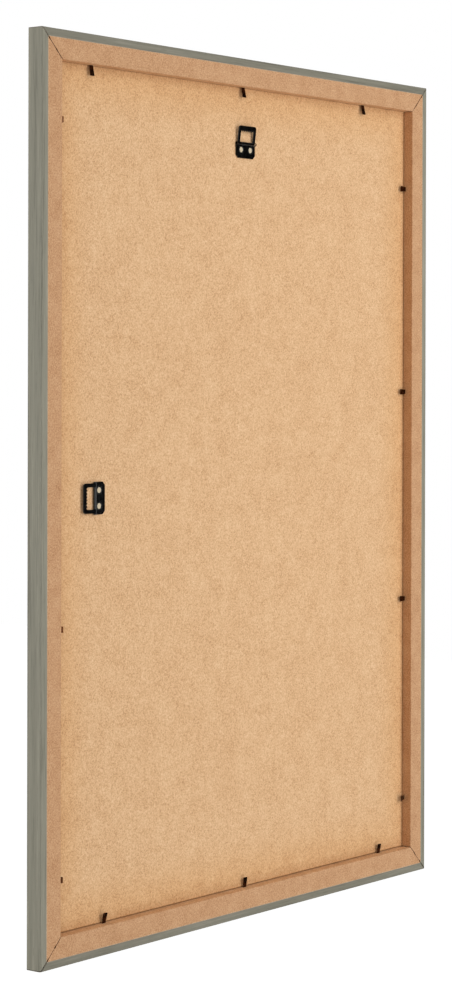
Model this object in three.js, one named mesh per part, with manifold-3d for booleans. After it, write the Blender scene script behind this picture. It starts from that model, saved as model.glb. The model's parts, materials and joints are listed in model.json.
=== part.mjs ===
// Picture frame for a 50 x 70 cm picture, built as it comes apart on a bench.
// Millimetres, +Z up. X runs along the width and +Y points out of the back, towards the wall.
// The back of the rails lies in the plane y = 0. The origin is where the wall's nail carries the upper bail.
// Left and right are named as someone in front of the picture sees them.

import * as THREE from 'three';
import { mergeVertices } from 'three/addons/utils/BufferGeometryUtils.js';
import Module from 'manifold-3d';

// Picture and rebate
const PICTURE_WIDTH = 500;
const PICTURE_HEIGHT = 700;
const PACK_CLEARANCE = 1; // from the edge of pane and insert to the rebate wall
const PANEL_CLEARANCE = 0.4; // from the edge of the back panel to the rebate wall
const PACK_RISE = 0.2; // the pack sits this much above the middle of the rebate

// Layers in the rebate, from the front
const PANE_THICKNESS = 1;
const INSERT_THICKNESS = 0.3;
const PANEL_THICKNESS = 2;

// Rail section
const RAIL_DEPTH = 15.5; // front face to back face
const RAIL_BACK = 24; // outer side to rebate wall
const LIP_REACH = 6; // how far the lip stands in front of the pane
const LIP_THICKNESS = 2.3;
const EDGE_RADIUS = 1; // wrapped edges
const BACK_EDGE_CHAMFER = 0.4; // where the back face turns into the rebate
const MITRE_GAP = 0.3;

// Decor foil
const FOIL_THICKNESS = 0.3;
const FOIL_RETURN = 7; // how far the foil comes round onto the back

// Corner nails, V-shaped in plan
const NAIL_HEIGHT = 7;
const NAIL_STEEL = 0.5;
const NAIL_LEG_SPAN = 4; // from the mitre to the end of a leg
const NAIL_LEG_RISE = 3; // from the tip of the V to the ends of its legs, along the mitre
const NAIL_SINK = 0.8; // below the back face
const OUTER_NAIL_INSET = 8.5; // from the outer side of a rail to the tip of the V
const INNER_NAIL_INSET = 17.5;
const NAIL_MARK_LENGTH = 3.2; // the driving mark left open on the mitre
const NAIL_MARK_WIDTH = 1.1;

// Flexible tabs
const TAB_STEEL = 0.5;
const TAB_ROOT_WIDTH = 4;
const TAB_TIP_WIDTH = 5.4;
const TAB_TIP_RADIUS = 0.8;
const TAB_LEAF_LENGTH = 8.2; // bend line to tip
const TAB_BEND_OFFSET = 0.6; // rebate wall to bend line
const TAB_HEIGHT = 2; // above the back panel
const TAB_GRIP = 7; // how deep the root sits in the rail
const TAB_POINT_LENGTH = 2.5;
const TAB_END_INSET = 52; // end of the rebate to the first and last tab

// Hinged hangers
const TOP_HANGER_INSET = 48; // upper edge of the picture to the hinge line
const TOP_HANGER_OFFSET = -1; // from the middle of the panel
const SIDE_HANGER_INSET = 49.4; // right edge of the picture to the hinge line
const SIDE_HANGER_DROP = 2; // below the middle of the panel
const STRAP_STEEL = 0.5;
const STRAP_WIDTH = 26.8;
const STRAP_DROP = 12.8; // hinge line to the free edge
const STRAP_CHAMFER = 2.8;
const STRAP_LAYER_GAP = 0.1;
const STRAP_BORE_RADIUS = 0.95; // inside of the rolled hinge
const STRAP_NECK_RADIUS = 0.7; // where the roll turns back onto the strap
const BAIL_STEEL = 0.9;
const BAIL_WIDTH = 24.7;
const BAIL_RISE = 15.5; // hinge line to the top of the bail
const BAIL_ARM = 3.2;
const BAIL_CORNER_RADIUS = 2.5;
const BAIL_EDGE_ROUNDING = 0.2;
const BAIL_HINGE_BAR = 1.1;
const BAIL_TOOTHED_BAR = 5; // top of the bail to the tips of the teeth
const NOTCH_COUNT = 7;
const NOTCH_DEPTH = 1;

// How far each bail leans out from the panel as it was left, in degrees
const TOP_BAIL_LEAN = 7;
const SIDE_BAIL_LEAN = 3;

// Hollow rivets that hold the straps on the panel
const RIVET_BORE_RADIUS = 2.5;
const RIVET_WALL = 0.3;
const RIVET_RIM = 0.7; // how far the rim stands out from the barrel
const RIVET_RIM_HEIGHT = 0.5;
const RIVET_CUP_DEPTH = 0.5; // rim to the closed floor
const RIVET_FLOOR = 0.4;
const RIVET_SPACING = 13;
const RIVET_DROP = 5.5; // hinge line to the row of rivets
const RIVET_SEAT_DEPTH = 0.8; // recess for the clinched rim in the front of the panel

// Shared clearance and fineness
const FIT_GAP = 0.3;
const ARC_STEPS = 4; // per quarter turn of a small radius
const ROUND_STEPS = 28; // per full turn

// Each tab as it was driven: how far it strays from its even place, and its leaf's lift in degrees.
// They run along each rail from its left end, looking at the back with that rail at the top.
const TABS = {
  top: [{ stray: 20, lift: 10 }, { stray: 4, lift: 10 }, { stray: 8, lift: 8 }],
  right: [{ stray: -5, lift: 9 }, { stray: 1, lift: -6 }, { stray: 6, lift: 16 }, { stray: 8, lift: 16 }],
  bottom: [{ stray: 10, lift: 11 }, { stray: 1, lift: 5 }, { stray: 9, lift: 9 }],
  left: [{ stray: -5, lift: 16 }, { stray: -14, lift: 4 }, { stray: -16, lift: 3 }, { stray: -22, lift: 2 }],
};

// Derived sizes
const REBATE_WIDTH = PICTURE_WIDTH + 2 * PACK_CLEARANCE;
const REBATE_HEIGHT = PICTURE_HEIGHT + 2 * PACK_CLEARANCE;
const FRAME_WIDTH = REBATE_WIDTH + 2 * RAIL_BACK;
const FRAME_HEIGHT = REBATE_HEIGHT + 2 * RAIL_BACK;
const RAIL_FACE = RAIL_BACK + LIP_REACH;
const LIP_BACK_Y = LIP_THICKNESS - RAIL_DEPTH;
const PANE_BACK_Y = LIP_BACK_Y + PANE_THICKNESS;
const INSERT_BACK_Y = PANE_BACK_Y + INSERT_THICKNESS;
const PANEL_BACK_Y = INSERT_BACK_Y + PANEL_THICKNESS;
const TAB_Y = PANEL_BACK_Y + TAB_HEIGHT;
const HINGE_HEIGHT = STRAP_STEEL + STRAP_BORE_RADIUS; // hinge line above the back panel
const STRAP_TOP = 2 * STRAP_STEEL + STRAP_LAYER_GAP;
const NOTCH_ROOT = BAIL_RISE - BAIL_TOOTHED_BAR + NOTCH_DEPTH;
const TOP_HINGE_Z = PACK_RISE + PICTURE_HEIGHT / 2 - TOP_HANGER_INSET;
const QUARTER_TURN = Math.PI / 2;
const DEGREE = Math.PI / 180;
const NAIL_POINT_Z = TOP_HINGE_Z + NOTCH_ROOT * Math.cos(TOP_BAIL_LEAN * DEGREE); // under the middle notch

// Finishes
const fibreboard = new THREE.MeshStandardMaterial({ color: 0xc79c72, roughness: 0.85 });
const decorFoil = new THREE.MeshStandardMaterial({ color: 0x8a877b, roughness: 0.5 });
const panelBoard = new THREE.MeshStandardMaterial({ color: 0xd6ad80, roughness: 0.85 });
const clearSheet = new THREE.MeshStandardMaterial({
  color: 0xf2f6f6,
  roughness: 0.05,
  transparent: true,
  opacity: 0.25,
});
const plainPaper = new THREE.MeshStandardMaterial({ color: 0xefe9da, roughness: 0.9 });
const blackSteel = new THREE.MeshStandardMaterial({ color: 0x141414, roughness: 0.35, metalness: 0.6 });
const tabSteel = new THREE.MeshStandardMaterial({ color: 0x1e1813, roughness: 0.4, metalness: 0.8 });
const nailSteel = new THREE.MeshStandardMaterial({ color: 0x9a9a98, roughness: 0.35, metalness: 1 });

const wasm = await Module();
wasm.setup();

/** A three.js geometry as a solid that can be cut and joined. */
function solidOf(geometry) {
  const bare = geometry.clone();
  bare.deleteAttribute('normal');
  bare.deleteAttribute('uv');
  const merged = mergeVertices(bare);
  return new wasm.Manifold(
    new wasm.Mesh({
      numProp: 3,
      vertProperties: merged.attributes.position.array,
      triVerts: new Uint32Array(merged.index.array),
    }),
  );
}

/** A solid as a three.js geometry with flat faces. */
function geometryOf(solid) {
  const mesh = solid.getMesh();
  const geometry = new THREE.BufferGeometry();
  geometry.setAttribute('position', new THREE.BufferAttribute(mesh.vertProperties, 3));
  geometry.setIndex(new THREE.BufferAttribute(mesh.triVerts, 1));
  const flat = geometry.toNonIndexed();
  flat.computeVertexNormals();
  return flat;
}

/** The geometry with every cutter taken out of it. */
function cut(geometry, cutters) {
  let solid = solidOf(geometry);
  for (const cutter of cutters) solid = solid.subtract(solidOf(cutter));
  return geometryOf(solid);
}

/** A box given by its lowest and highest corner. */
function boxBetween(low, high) {
  const size = new THREE.Vector3().subVectors(high, low);
  const middle = new THREE.Vector3().addVectors(low, high).multiplyScalar(0.5);
  return new THREE.BoxGeometry(size.x, size.y, size.z).translate(middle.x, middle.y, middle.z);
}

/** Points along an arc, from one angle to another, both ends included. */
function arc(centreX, centreY, radius, from, to, steps = ARC_STEPS) {
  return Array.from({ length: steps + 1 }, (_, i) => {
    const angle = from + ((to - from) * i) / steps;
    return new THREE.Vector2(centreX + radius * Math.cos(angle), centreY + radius * Math.sin(angle));
  });
}

/** An outline in plan, given by points (x, z), as a plate that reaches from y = low to y = high. */
function plate(points, low, high) {
  const shape = new THREE.Shape(points.map((p) => new THREE.Vector2(p.x, -p.y)));
  const geometry = new THREE.ExtrudeGeometry(shape, { depth: high - low, bevelEnabled: false });
  return geometry.rotateX(-QUARTER_TURN).translate(0, low, 0);
}

/** A named mesh inside its group. */
function add(group, name, geometry, material) {
  const mesh = new THREE.Mesh(geometry, material);
  mesh.name = name;
  group.add(mesh);
  return mesh;
}

// Rails and foil. A rail lies along X with its outer side at z = 0 and the picture below it.

/** The wrapped side of a rail's section, set in by an offset, as points (inset, y). */
function wrapLine(offset) {
  const radius = EDGE_RADIUS - offset;
  const frontCentre = EDGE_RADIUS - RAIL_DEPTH;
  return [
    new THREE.Vector2(FOIL_RETURN, -offset),
    ...arc(EDGE_RADIUS, -EDGE_RADIUS, radius, QUARTER_TURN, 2 * QUARTER_TURN),
    ...arc(EDGE_RADIUS, frontCentre, radius, 2 * QUARTER_TURN, 3 * QUARTER_TURN),
    ...arc(RAIL_FACE - EDGE_RADIUS, frontCentre, radius, 3 * QUARTER_TURN, 4 * QUARTER_TURN),
    new THREE.Vector2(RAIL_FACE - offset, LIP_BACK_Y),
  ];
}

/** The fibreboard section: the wrapped side, then the rebate and the bare back. */
function coreSection() {
  return new THREE.Shape([
    ...wrapLine(FOIL_THICKNESS),
    new THREE.Vector2(RAIL_BACK, LIP_BACK_Y),
    new THREE.Vector2(RAIL_BACK, -BACK_EDGE_CHAMFER),
    new THREE.Vector2(RAIL_BACK - BACK_EDGE_CHAMFER, 0),
    new THREE.Vector2(FOIL_RETURN, 0),
  ]);
}

/** The foil's section: a thin skin between its outer face and the fibreboard. */
function foilSection() {
  return new THREE.Shape([...wrapLine(0), ...wrapLine(FOIL_THICKNESS).reverse()]);
}

/** A section drawn along a rail, with both ends mitred. */
function mitredBar(section, outerLength) {
  const bar = new THREE.ExtrudeGeometry(section, { depth: outerLength, bevelEnabled: false });
  bar.rotateY(QUARTER_TURN);
  const setBack = (MITRE_GAP / 2) * Math.SQRT2;
  const position = bar.attributes.position;
  for (let i = 0; i < position.count; i += 1) {
    const end = position.getX(i) > outerLength / 2 ? 1 : -1;
    position.setX(i, end * (outerLength / 2 - setBack + position.getZ(i)));
  }
  return bar;
}

/** The outline of a corner nail: a V with its tip towards the outer corner, grown by a clearance. */
function nailOutline(inset, clearance) {
  const tip = -inset * Math.SQRT2;
  const half = NAIL_STEEL / 2 + clearance;
  const slope = Math.atan2(NAIL_LEG_RISE, NAIL_LEG_SPAN);
  const rise = half / Math.cos(slope);
  const reach = NAIL_LEG_SPAN + clearance;
  const drop = reach * Math.tan(slope);
  return [
    new THREE.Vector2(-reach, tip - drop + rise),
    new THREE.Vector2(-reach, tip - drop - rise),
    new THREE.Vector2(0, tip - rise),
    new THREE.Vector2(reach, tip - drop - rise),
    new THREE.Vector2(reach, tip - drop + rise),
    new THREE.Vector2(0, tip + rise),
  ];
}

/** A corner nail, or the pocket for one, in a frame whose z runs out along the mitre. */
function nailBody(inset, clearance) {
  const high = -NAIL_SINK + clearance;
  return plate(nailOutline(inset, clearance), high - NAIL_HEIGHT - 2 * clearance, high);
}

/** What a corner nail takes out of both rails: its pocket and the mark where it was driven. */
function nailCutters(inset) {
  const tip = -inset * Math.SQRT2;
  const mark = boxBetween(
    new THREE.Vector3(-NAIL_MARK_WIDTH / 2, -NAIL_SINK - FIT_GAP, tip - NAIL_MARK_LENGTH / 2),
    new THREE.Vector3(NAIL_MARK_WIDTH / 2, NAIL_SINK, tip + NAIL_MARK_LENGTH / 2),
  );
  return [nailBody(inset, FIT_GAP), mark];
}

// Tabs. A tab points down from the rebate wall, at z = 0 here, with y = 0 in the middle of its steel.

/** The root of a tab: a flat strip with a driving point, up to just short of the bend line. */
function tabRoot() {
  const half = TAB_ROOT_WIDTH / 2;
  const end = TAB_STEEL / 2 + FIT_GAP - TAB_BEND_OFFSET;
  const shoulder = TAB_GRIP - TAB_POINT_LENGTH;
  const outline = [
    new THREE.Vector2(-half, end),
    new THREE.Vector2(half, end),
    new THREE.Vector2(half, shoulder),
    new THREE.Vector2(0, TAB_GRIP),
    new THREE.Vector2(-half, shoulder),
  ];
  return plate(outline, -TAB_STEEL / 2, TAB_STEEL / 2);
}

/** The slot that a tab's root leaves in the rail. */
function tabSlot() {
  const half = TAB_ROOT_WIDTH / 2 + FIT_GAP;
  return boxBetween(
    new THREE.Vector3(-half, -TAB_STEEL / 2, -BACK_EDGE_CHAMFER),
    new THREE.Vector3(half, TAB_STEEL / 2, TAB_GRIP + FIT_GAP),
  );
}

/** The leaf of a tab: widens from the bend line, at z = 0 here, to a tip with round corners. */
function tabLeaf() {
  const root = TAB_ROOT_WIDTH / 2;
  const cornerX = TAB_TIP_WIDTH / 2 - TAB_TIP_RADIUS;
  const cornerZ = TAB_TIP_RADIUS - TAB_LEAF_LENGTH;
  const outline = [
    new THREE.Vector2(root, 0),
    new THREE.Vector2(-root, 0),
    ...arc(-cornerX, cornerZ, TAB_TIP_RADIUS, 2 * QUARTER_TURN, 3 * QUARTER_TURN),
    ...arc(cornerX, cornerZ, TAB_TIP_RADIUS, 3 * QUARTER_TURN, 4 * QUARTER_TURN),
  ];
  return plate(outline, -TAB_STEEL / 2, TAB_STEEL / 2);
}

/** Where the tabs of a rail sit along it: evenly between the first and the last, each with its own stray. */
function tabPlaces(tabs, rebateLength) {
  const first = TAB_END_INSET - rebateLength / 2;
  const step = (-2 * first) / (tabs.length - 1);
  return tabs.map(({ stray }, i) => first + i * step + stray);
}

/** One side of the frame: rail, foil and tabs. */
function side(name, outerLength, rebateLength) {
  const group = new THREE.Group();
  const places = tabPlaces(TABS[name], rebateLength);
  const slots = places.map((x) => tabSlot().translate(x, TAB_Y, -RAIL_BACK));
  const nailPockets = [-1, 1].flatMap((end) =>
    [OUTER_NAIL_INSET, INNER_NAIL_INSET]
      .flatMap((inset) => nailCutters(inset))
      .map((cutter) => cutter.rotateY((end * QUARTER_TURN) / 2).translate((end * outerLength) / 2, 0, 0)),
  );
  const core = cut(mitredBar(coreSection(), outerLength), [...slots, ...nailPockets]);
  add(group, `rail_${name}`, core, fibreboard);
  add(group, `foil_${name}`, mitredBar(foilSection(), outerLength), decorFoil);
  places.forEach((x, i) => {
    const tab = new THREE.Group();
    tab.position.set(x, TAB_Y, -RAIL_BACK);
    add(tab, `tab_root_${name}_${i + 1}`, tabRoot(), tabSteel);
    const leaf = add(tab, `tab_leaf_${name}_${i + 1}`, tabLeaf(), tabSteel);
    leaf.position.z = -TAB_BEND_OFFSET;
    leaf.rotation.x = TABS[name][i].lift * DEGREE;
    group.add(tab);
  });
  return group;
}

/** The two nails of one corner, in a frame whose z runs out along the mitre. */
function cornerNails(corner) {
  const group = new THREE.Group();
  add(group, `corner_nail_${corner}_outer`, nailBody(OUTER_NAIL_INSET, 0), nailSteel);
  add(group, `corner_nail_${corner}_inner`, nailBody(INNER_NAIL_INSET, 0), nailSteel);
  return group;
}

// Hangers. The hinge line lies along X at z = 0, the back of the panel at y = 0, and the bail points up.

/** The strap's section as points (z, y): lower layer, rolled hinge and upper layer folded back. */
function strapSection() {
  const middle = STRAP_BORE_RADIUS + STRAP_STEEL / 2;
  const neckHeight = STRAP_TOP + STRAP_NECK_RADIUS - STRAP_STEEL / 2 - HINGE_HEIGHT;
  const turn = Math.PI - Math.asin(neckHeight / (middle + STRAP_NECK_RADIUS));
  const neckZ = (middle + STRAP_NECK_RADIUS) * Math.cos(turn);
  const neckY = HINGE_HEIGHT + neckHeight;
  const rollSteps = Math.round(ROUND_STEPS * (turn + QUARTER_TURN) / (2 * Math.PI));
  const roll = (radius) => arc(0, HINGE_HEIGHT, radius, -QUARTER_TURN, turn, rollSteps);
  const neck = (radius) => arc(neckZ, neckY, radius, turn - Math.PI, -QUARTER_TURN);
  const outside = [...roll(STRAP_BORE_RADIUS + STRAP_STEEL), ...neck(STRAP_NECK_RADIUS - STRAP_STEEL / 2)];
  const inside = [...roll(STRAP_BORE_RADIUS), ...neck(STRAP_NECK_RADIUS + STRAP_STEEL / 2)];
  return new THREE.Shape([
    new THREE.Vector2(-STRAP_DROP, 0),
    ...outside,
    new THREE.Vector2(-STRAP_DROP, STRAP_TOP),
    new THREE.Vector2(-STRAP_DROP, STRAP_TOP - STRAP_STEEL),
    ...inside.reverse(),
    new THREE.Vector2(-STRAP_DROP, STRAP_STEEL),
  ]);
}

/** The strap's outline in plan, with its two free corners cut off. */
function strapOutline() {
  const half = STRAP_WIDTH / 2;
  const top = STRAP_BORE_RADIUS + STRAP_STEEL + FIT_GAP;
  return [
    new THREE.Vector2(-half, top),
    new THREE.Vector2(-half, STRAP_CHAMFER - STRAP_DROP),
    new THREE.Vector2(STRAP_CHAMFER - half, -STRAP_DROP),
    new THREE.Vector2(half - STRAP_CHAMFER, -STRAP_DROP),
    new THREE.Vector2(half, STRAP_CHAMFER - STRAP_DROP),
    new THREE.Vector2(half, top),
  ];
}

/** The slot in the roll that lets one arm of the bail swing until it stands square out from the panel. */
function armSlot(sign) {
  const roll = STRAP_BORE_RADIUS + STRAP_STEEL + FIT_GAP;
  const inner = sign * (BAIL_WIDTH / 2 - BAIL_ARM - FIT_GAP);
  const outer = sign * (BAIL_WIDTH / 2 + FIT_GAP);
  const behind = -BAIL_STEEL / 2 - FIT_GAP;
  return boxBetween(
    new THREE.Vector3(Math.min(inner, outer), HINGE_HEIGHT + behind, behind),
    new THREE.Vector3(Math.max(inner, outer), HINGE_HEIGHT + roll, roll),
  );
}

/** Where the rivets sit along the hinge line. */
const rivetPlaces = [-RIVET_SPACING / 2, RIVET_SPACING / 2];

/** A hole for a rivet, from y = low to y = high. */
function rivetHole(x, radius, low, high) {
  const hole = new THREE.CylinderGeometry(radius, radius, high - low, ROUND_STEPS);
  return hole.translate(x, (low + high) / 2, -RIVET_DROP);
}

/** The folded strap: its section drawn along the hinge, trimmed in plan, with rivet holes and arm slots. */
function strap() {
  const folded = new THREE.ExtrudeGeometry(strapSection(), { depth: STRAP_WIDTH, bevelEnabled: false });
  folded.translate(0, 0, -STRAP_WIDTH / 2).rotateY(-QUARTER_TURN);
  const high = HINGE_HEIGHT + STRAP_BORE_RADIUS + STRAP_STEEL + FIT_GAP;
  const trimmed = geometryOf(solidOf(folded).intersect(solidOf(plate(strapOutline(), -FIT_GAP, high))));
  const barrel = RIVET_BORE_RADIUS + RIVET_WALL;
  return cut(trimmed, [
    ...rivetPlaces.map((x) => rivetHole(x, barrel + FIT_GAP, -FIT_GAP, high)),
    armSlot(-1),
    armSlot(1),
  ]);
}

/** The bail: a flat ring with round shoulders, a hinge bar below and notches under its upper bar. */
function bail() {
  const half = BAIL_WIDTH / 2;
  const inner = half - BAIL_ARM;
  const low = -BAIL_HINGE_BAR / 2;
  const tips = BAIL_RISE - BAIL_TOOTHED_BAR;
  const pitch = (2 * inner) / NOTCH_COUNT;
  const shoulderX = half - BAIL_CORNER_RADIUS;
  const shoulderZ = BAIL_RISE - BAIL_CORNER_RADIUS;
  const ring = new THREE.Shape([
    new THREE.Vector2(-half, low),
    new THREE.Vector2(half, low),
    ...arc(shoulderX, shoulderZ, BAIL_CORNER_RADIUS, 0, QUARTER_TURN),
    ...arc(-shoulderX, shoulderZ, BAIL_CORNER_RADIUS, QUARTER_TURN, 2 * QUARTER_TURN),
  ]);
  const notches = Array.from({ length: NOTCH_COUNT }, (_, i) => [
    new THREE.Vector2(inner - i * pitch, tips),
    new THREE.Vector2(inner - (i + 0.5) * pitch, tips + NOTCH_DEPTH),
  ]).flat();
  ring.holes.push(
    new THREE.Path([
      new THREE.Vector2(-inner, -low),
      new THREE.Vector2(inner, -low),
      ...notches,
      new THREE.Vector2(-inner, tips),
    ]),
  );
  const geometry = new THREE.ExtrudeGeometry(ring, {
    depth: BAIL_STEEL - 2 * BAIL_EDGE_ROUNDING,
    bevelThickness: BAIL_EDGE_ROUNDING,
    bevelSize: BAIL_EDGE_ROUNDING,
    bevelOffset: -BAIL_EDGE_ROUNDING,
    bevelSegments: 2,
  });
  return geometry.translate(0, 0, BAIL_EDGE_ROUNDING - BAIL_STEEL / 2).rotateX(QUARTER_TURN);
}

/** A hollow rivet: a rim around a closed cup on the strap, and a clinched rim in the front of the panel. */
function rivet() {
  const bore = RIVET_BORE_RADIUS;
  const barrel = bore + RIVET_WALL;
  const rim = barrel + RIVET_RIM;
  const front = RIVET_SEAT_DEPTH - PANEL_THICKNESS;
  const back = STRAP_TOP + RIVET_RIM_HEIGHT;
  const curl = RIVET_RIM_HEIGHT / 2;
  const section = [
    new THREE.Vector2(bore, front - RIVET_RIM_HEIGHT + curl),
    new THREE.Vector2(bore + curl, front - RIVET_RIM_HEIGHT),
    new THREE.Vector2(rim - curl, front - RIVET_RIM_HEIGHT),
    ...arc(rim - curl, front - curl, curl, -QUARTER_TURN, QUARTER_TURN),
    new THREE.Vector2(barrel, front),
    new THREE.Vector2(barrel, STRAP_TOP),
    ...arc(rim - curl, STRAP_TOP + curl, curl, -QUARTER_TURN, QUARTER_TURN),
    new THREE.Vector2(bore + curl, back),
    new THREE.Vector2(bore, back - curl),
  ];
  const tube = new THREE.LatheGeometry([...section, section[0].clone()], ROUND_STEPS);
  const floorRadius = bore + RIVET_WALL / 2;
  const floor = new THREE.CylinderGeometry(floorRadius, floorRadius, RIVET_FLOOR, ROUND_STEPS);
  floor.translate(0, back - RIVET_CUP_DEPTH - RIVET_FLOOR / 2, 0);
  return geometryOf(solidOf(tube).add(solidOf(floor)));
}

/** One hanger: strap, bail and two rivets. */
function hanger(name, lean) {
  const group = new THREE.Group();
  add(group, `hanger_strap_${name}`, strap(), blackSteel);
  const hung = add(group, `hanger_bail_${name}`, bail(), blackSteel);
  hung.position.y = HINGE_HEIGHT;
  hung.rotation.x = -lean * DEGREE;
  rivetPlaces.forEach((x, i) => {
    add(group, `hanger_rivet_${name}_${i + 1}`, rivet(), blackSteel).position.set(x, 0, -RIVET_DROP);
  });
  return group;
}

// The pack in the rebate: pane, insert and back panel, with the hangers on the panel.

/** A sheet that fills the rebate up to a clearance, with its back at y = back. */
function sheet(thickness, back, clearance) {
  const halfWidth = REBATE_WIDTH / 2 - clearance;
  const halfHeight = REBATE_HEIGHT / 2 - clearance;
  return boxBetween(
    new THREE.Vector3(-halfWidth, back - thickness, -halfHeight),
    new THREE.Vector3(halfWidth, back, halfHeight),
  );
}

/** The holes that a hanger's rivets need in the panel, in the hanger's frame. */
function panelHoles() {
  const barrel = RIVET_BORE_RADIUS + RIVET_WALL;
  const seat = RIVET_SEAT_DEPTH - PANEL_THICKNESS;
  return rivetPlaces.flatMap((x) => [
    rivetHole(x, barrel + FIT_GAP, -PANEL_THICKNESS - FIT_GAP, FIT_GAP),
    rivetHole(x, barrel + RIVET_RIM + FIT_GAP, -PANEL_THICKNESS - FIT_GAP, seat),
  ]);
}

/** Pane, insert and back panel, and the two hangers in their places on it. */
function pack() {
  const group = new THREE.Group();
  group.position.z = PACK_RISE;
  add(group, 'front_pane', sheet(PANE_THICKNESS, PANE_BACK_Y, PACK_CLEARANCE), clearSheet);
  add(group, 'insert_sheet', sheet(INSERT_THICKNESS, INSERT_BACK_Y, PACK_CLEARANCE), plainPaper);

  const topHanger = hanger('top', TOP_BAIL_LEAN);
  topHanger.position.set(TOP_HANGER_OFFSET, PANEL_BACK_Y, PICTURE_HEIGHT / 2 - TOP_HANGER_INSET);
  const sideHanger = hanger('side', SIDE_BAIL_LEAN);
  sideHanger.position.set(PICTURE_WIDTH / 2 - SIDE_HANGER_INSET, PANEL_BACK_Y, -SIDE_HANGER_DROP);
  sideHanger.rotation.y = QUARTER_TURN;

  const holes = [topHanger, sideHanger].flatMap((one) => {
    one.updateMatrix();
    return panelHoles().map((hole) => hole.applyMatrix4(one.matrix));
  });
  add(group, 'back_panel', cut(sheet(PANEL_THICKNESS, PANEL_BACK_Y, PANEL_CLEARANCE), holes), panelBoard);
  group.add(topHanger, sideHanger);
  return group;
}

// The whole frame, centred on its own middle and then hung on the nail at the origin.

const frame = new THREE.Group();
frame.position.set(-TOP_HANGER_OFFSET, 0, -NAIL_POINT_Z);
frame.add(pack());

const sides = [
  { name: 'top', length: FRAME_WIDTH, rebate: REBATE_WIDTH, out: FRAME_HEIGHT / 2 },
  { name: 'right', length: FRAME_HEIGHT, rebate: REBATE_HEIGHT, out: FRAME_WIDTH / 2 },
  { name: 'bottom', length: FRAME_WIDTH, rebate: REBATE_WIDTH, out: FRAME_HEIGHT / 2 },
  { name: 'left', length: FRAME_HEIGHT, rebate: REBATE_HEIGHT, out: FRAME_WIDTH / 2 },
];
sides.forEach(({ name, length, rebate, out }, i) => {
  const turned = new THREE.Group();
  turned.rotation.y = i * QUARTER_TURN;
  const placed = side(name, length, rebate);
  placed.position.z = out;
  turned.add(placed);
  frame.add(turned);
});

['top_right', 'bottom_right', 'bottom_left', 'top_left'].forEach((name, i) => {
  const nails = cornerNails(name);
  nails.rotation.y = (i + 0.5) * QUARTER_TURN;
  const signX = i < 2 ? 1 : -1;
  const signZ = i === 0 || i === 3 ? 1 : -1;
  nails.position.set((signX * FRAME_WIDTH) / 2, 0, (signZ * FRAME_HEIGHT) / 2);
  frame.add(nails);
});

const pictureFrame = new THREE.Group();
pictureFrame.add(frame);

export default pictureFrame;
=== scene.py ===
"""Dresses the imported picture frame, seen from behind: wrapped rails, board, sheet-steel hangers and tabs.

New pieces are modelled in millimetres on a workbench round the world's origin, and then settled in their
place in metres. Sides are named as someone in front of the picture sees them, and +Y points out of the back.
"""

import json
import logging
import math
from abc import ABC, abstractmethod
from contextlib import contextmanager
from dataclasses import dataclass
from enum import Enum
from typing import Any, Callable, ClassVar, Iterator, NamedTuple, Sequence, Union

import bmesh
import bpy
from mathutils import Euler, Matrix, Vector


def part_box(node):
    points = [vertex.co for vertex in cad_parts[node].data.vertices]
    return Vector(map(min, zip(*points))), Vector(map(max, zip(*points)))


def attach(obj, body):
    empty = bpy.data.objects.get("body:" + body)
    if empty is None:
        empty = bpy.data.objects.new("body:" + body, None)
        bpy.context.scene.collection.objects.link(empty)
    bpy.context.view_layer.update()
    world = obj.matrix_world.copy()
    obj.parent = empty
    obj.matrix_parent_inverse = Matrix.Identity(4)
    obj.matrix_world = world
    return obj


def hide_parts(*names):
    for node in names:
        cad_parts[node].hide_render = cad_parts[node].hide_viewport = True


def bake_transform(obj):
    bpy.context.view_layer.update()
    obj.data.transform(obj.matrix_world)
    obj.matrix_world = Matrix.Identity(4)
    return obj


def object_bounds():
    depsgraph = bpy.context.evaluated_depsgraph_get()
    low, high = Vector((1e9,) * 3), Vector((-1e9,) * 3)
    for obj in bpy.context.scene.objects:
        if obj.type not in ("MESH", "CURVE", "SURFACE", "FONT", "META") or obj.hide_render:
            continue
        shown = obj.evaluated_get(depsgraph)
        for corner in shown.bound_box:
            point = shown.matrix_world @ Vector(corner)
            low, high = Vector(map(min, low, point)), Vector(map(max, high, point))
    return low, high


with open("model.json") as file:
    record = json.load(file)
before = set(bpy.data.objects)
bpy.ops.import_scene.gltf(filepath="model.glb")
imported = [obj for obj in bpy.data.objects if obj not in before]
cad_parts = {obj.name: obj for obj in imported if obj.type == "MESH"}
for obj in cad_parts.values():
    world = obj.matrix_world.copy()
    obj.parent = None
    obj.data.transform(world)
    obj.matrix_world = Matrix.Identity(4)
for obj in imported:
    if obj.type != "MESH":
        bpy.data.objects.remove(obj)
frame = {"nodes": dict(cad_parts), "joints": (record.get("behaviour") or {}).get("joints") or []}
CAD_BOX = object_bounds()

MM = 0.001
OUT = Vector((0, 1, 0))
OUTSIDE = CAD_BOX[1] - CAD_BOX[0]
MIDDLE = (CAD_BOX[0] + CAD_BOX[1]) / 2
TO_MIDDLE = (-MIDDLE.x, 0.0, -MIDDLE.z)
BACK_MIDDLE = Vector((MIDDLE.x, CAD_BOX[1].y, MIDDLE.z))
ROOT_BODY = "frame"
LOG = logging.getLogger("picture_frame")

# Tolerances on the workbench, in millimetres, and the angle from which an edge is sharp, in degrees
AGREES = 1e-3
WELD = 1e-4
SCORE = 1e-5
SHARP = 40.0

# Words for the types that come up again and again
Piece = bpy.types.Object
Material = bpy.types.Material
Socket = bpy.types.NodeSocket
Outputs = bpy.types.NodeOutputs
Element = Union[bmesh.types.BMVert, bmesh.types.BMEdge, bmesh.types.BMFace]
Colour = tuple[float, float, float]
Covering = tuple[float, float, float, float]
Triple = tuple[float, float, float]
Span = tuple[float, float]
Feed = Union[Socket, float, Sequence[float]]
Effect = Union[Outputs, dict[str, Socket]]
Joint = dict[str, Any]


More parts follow.
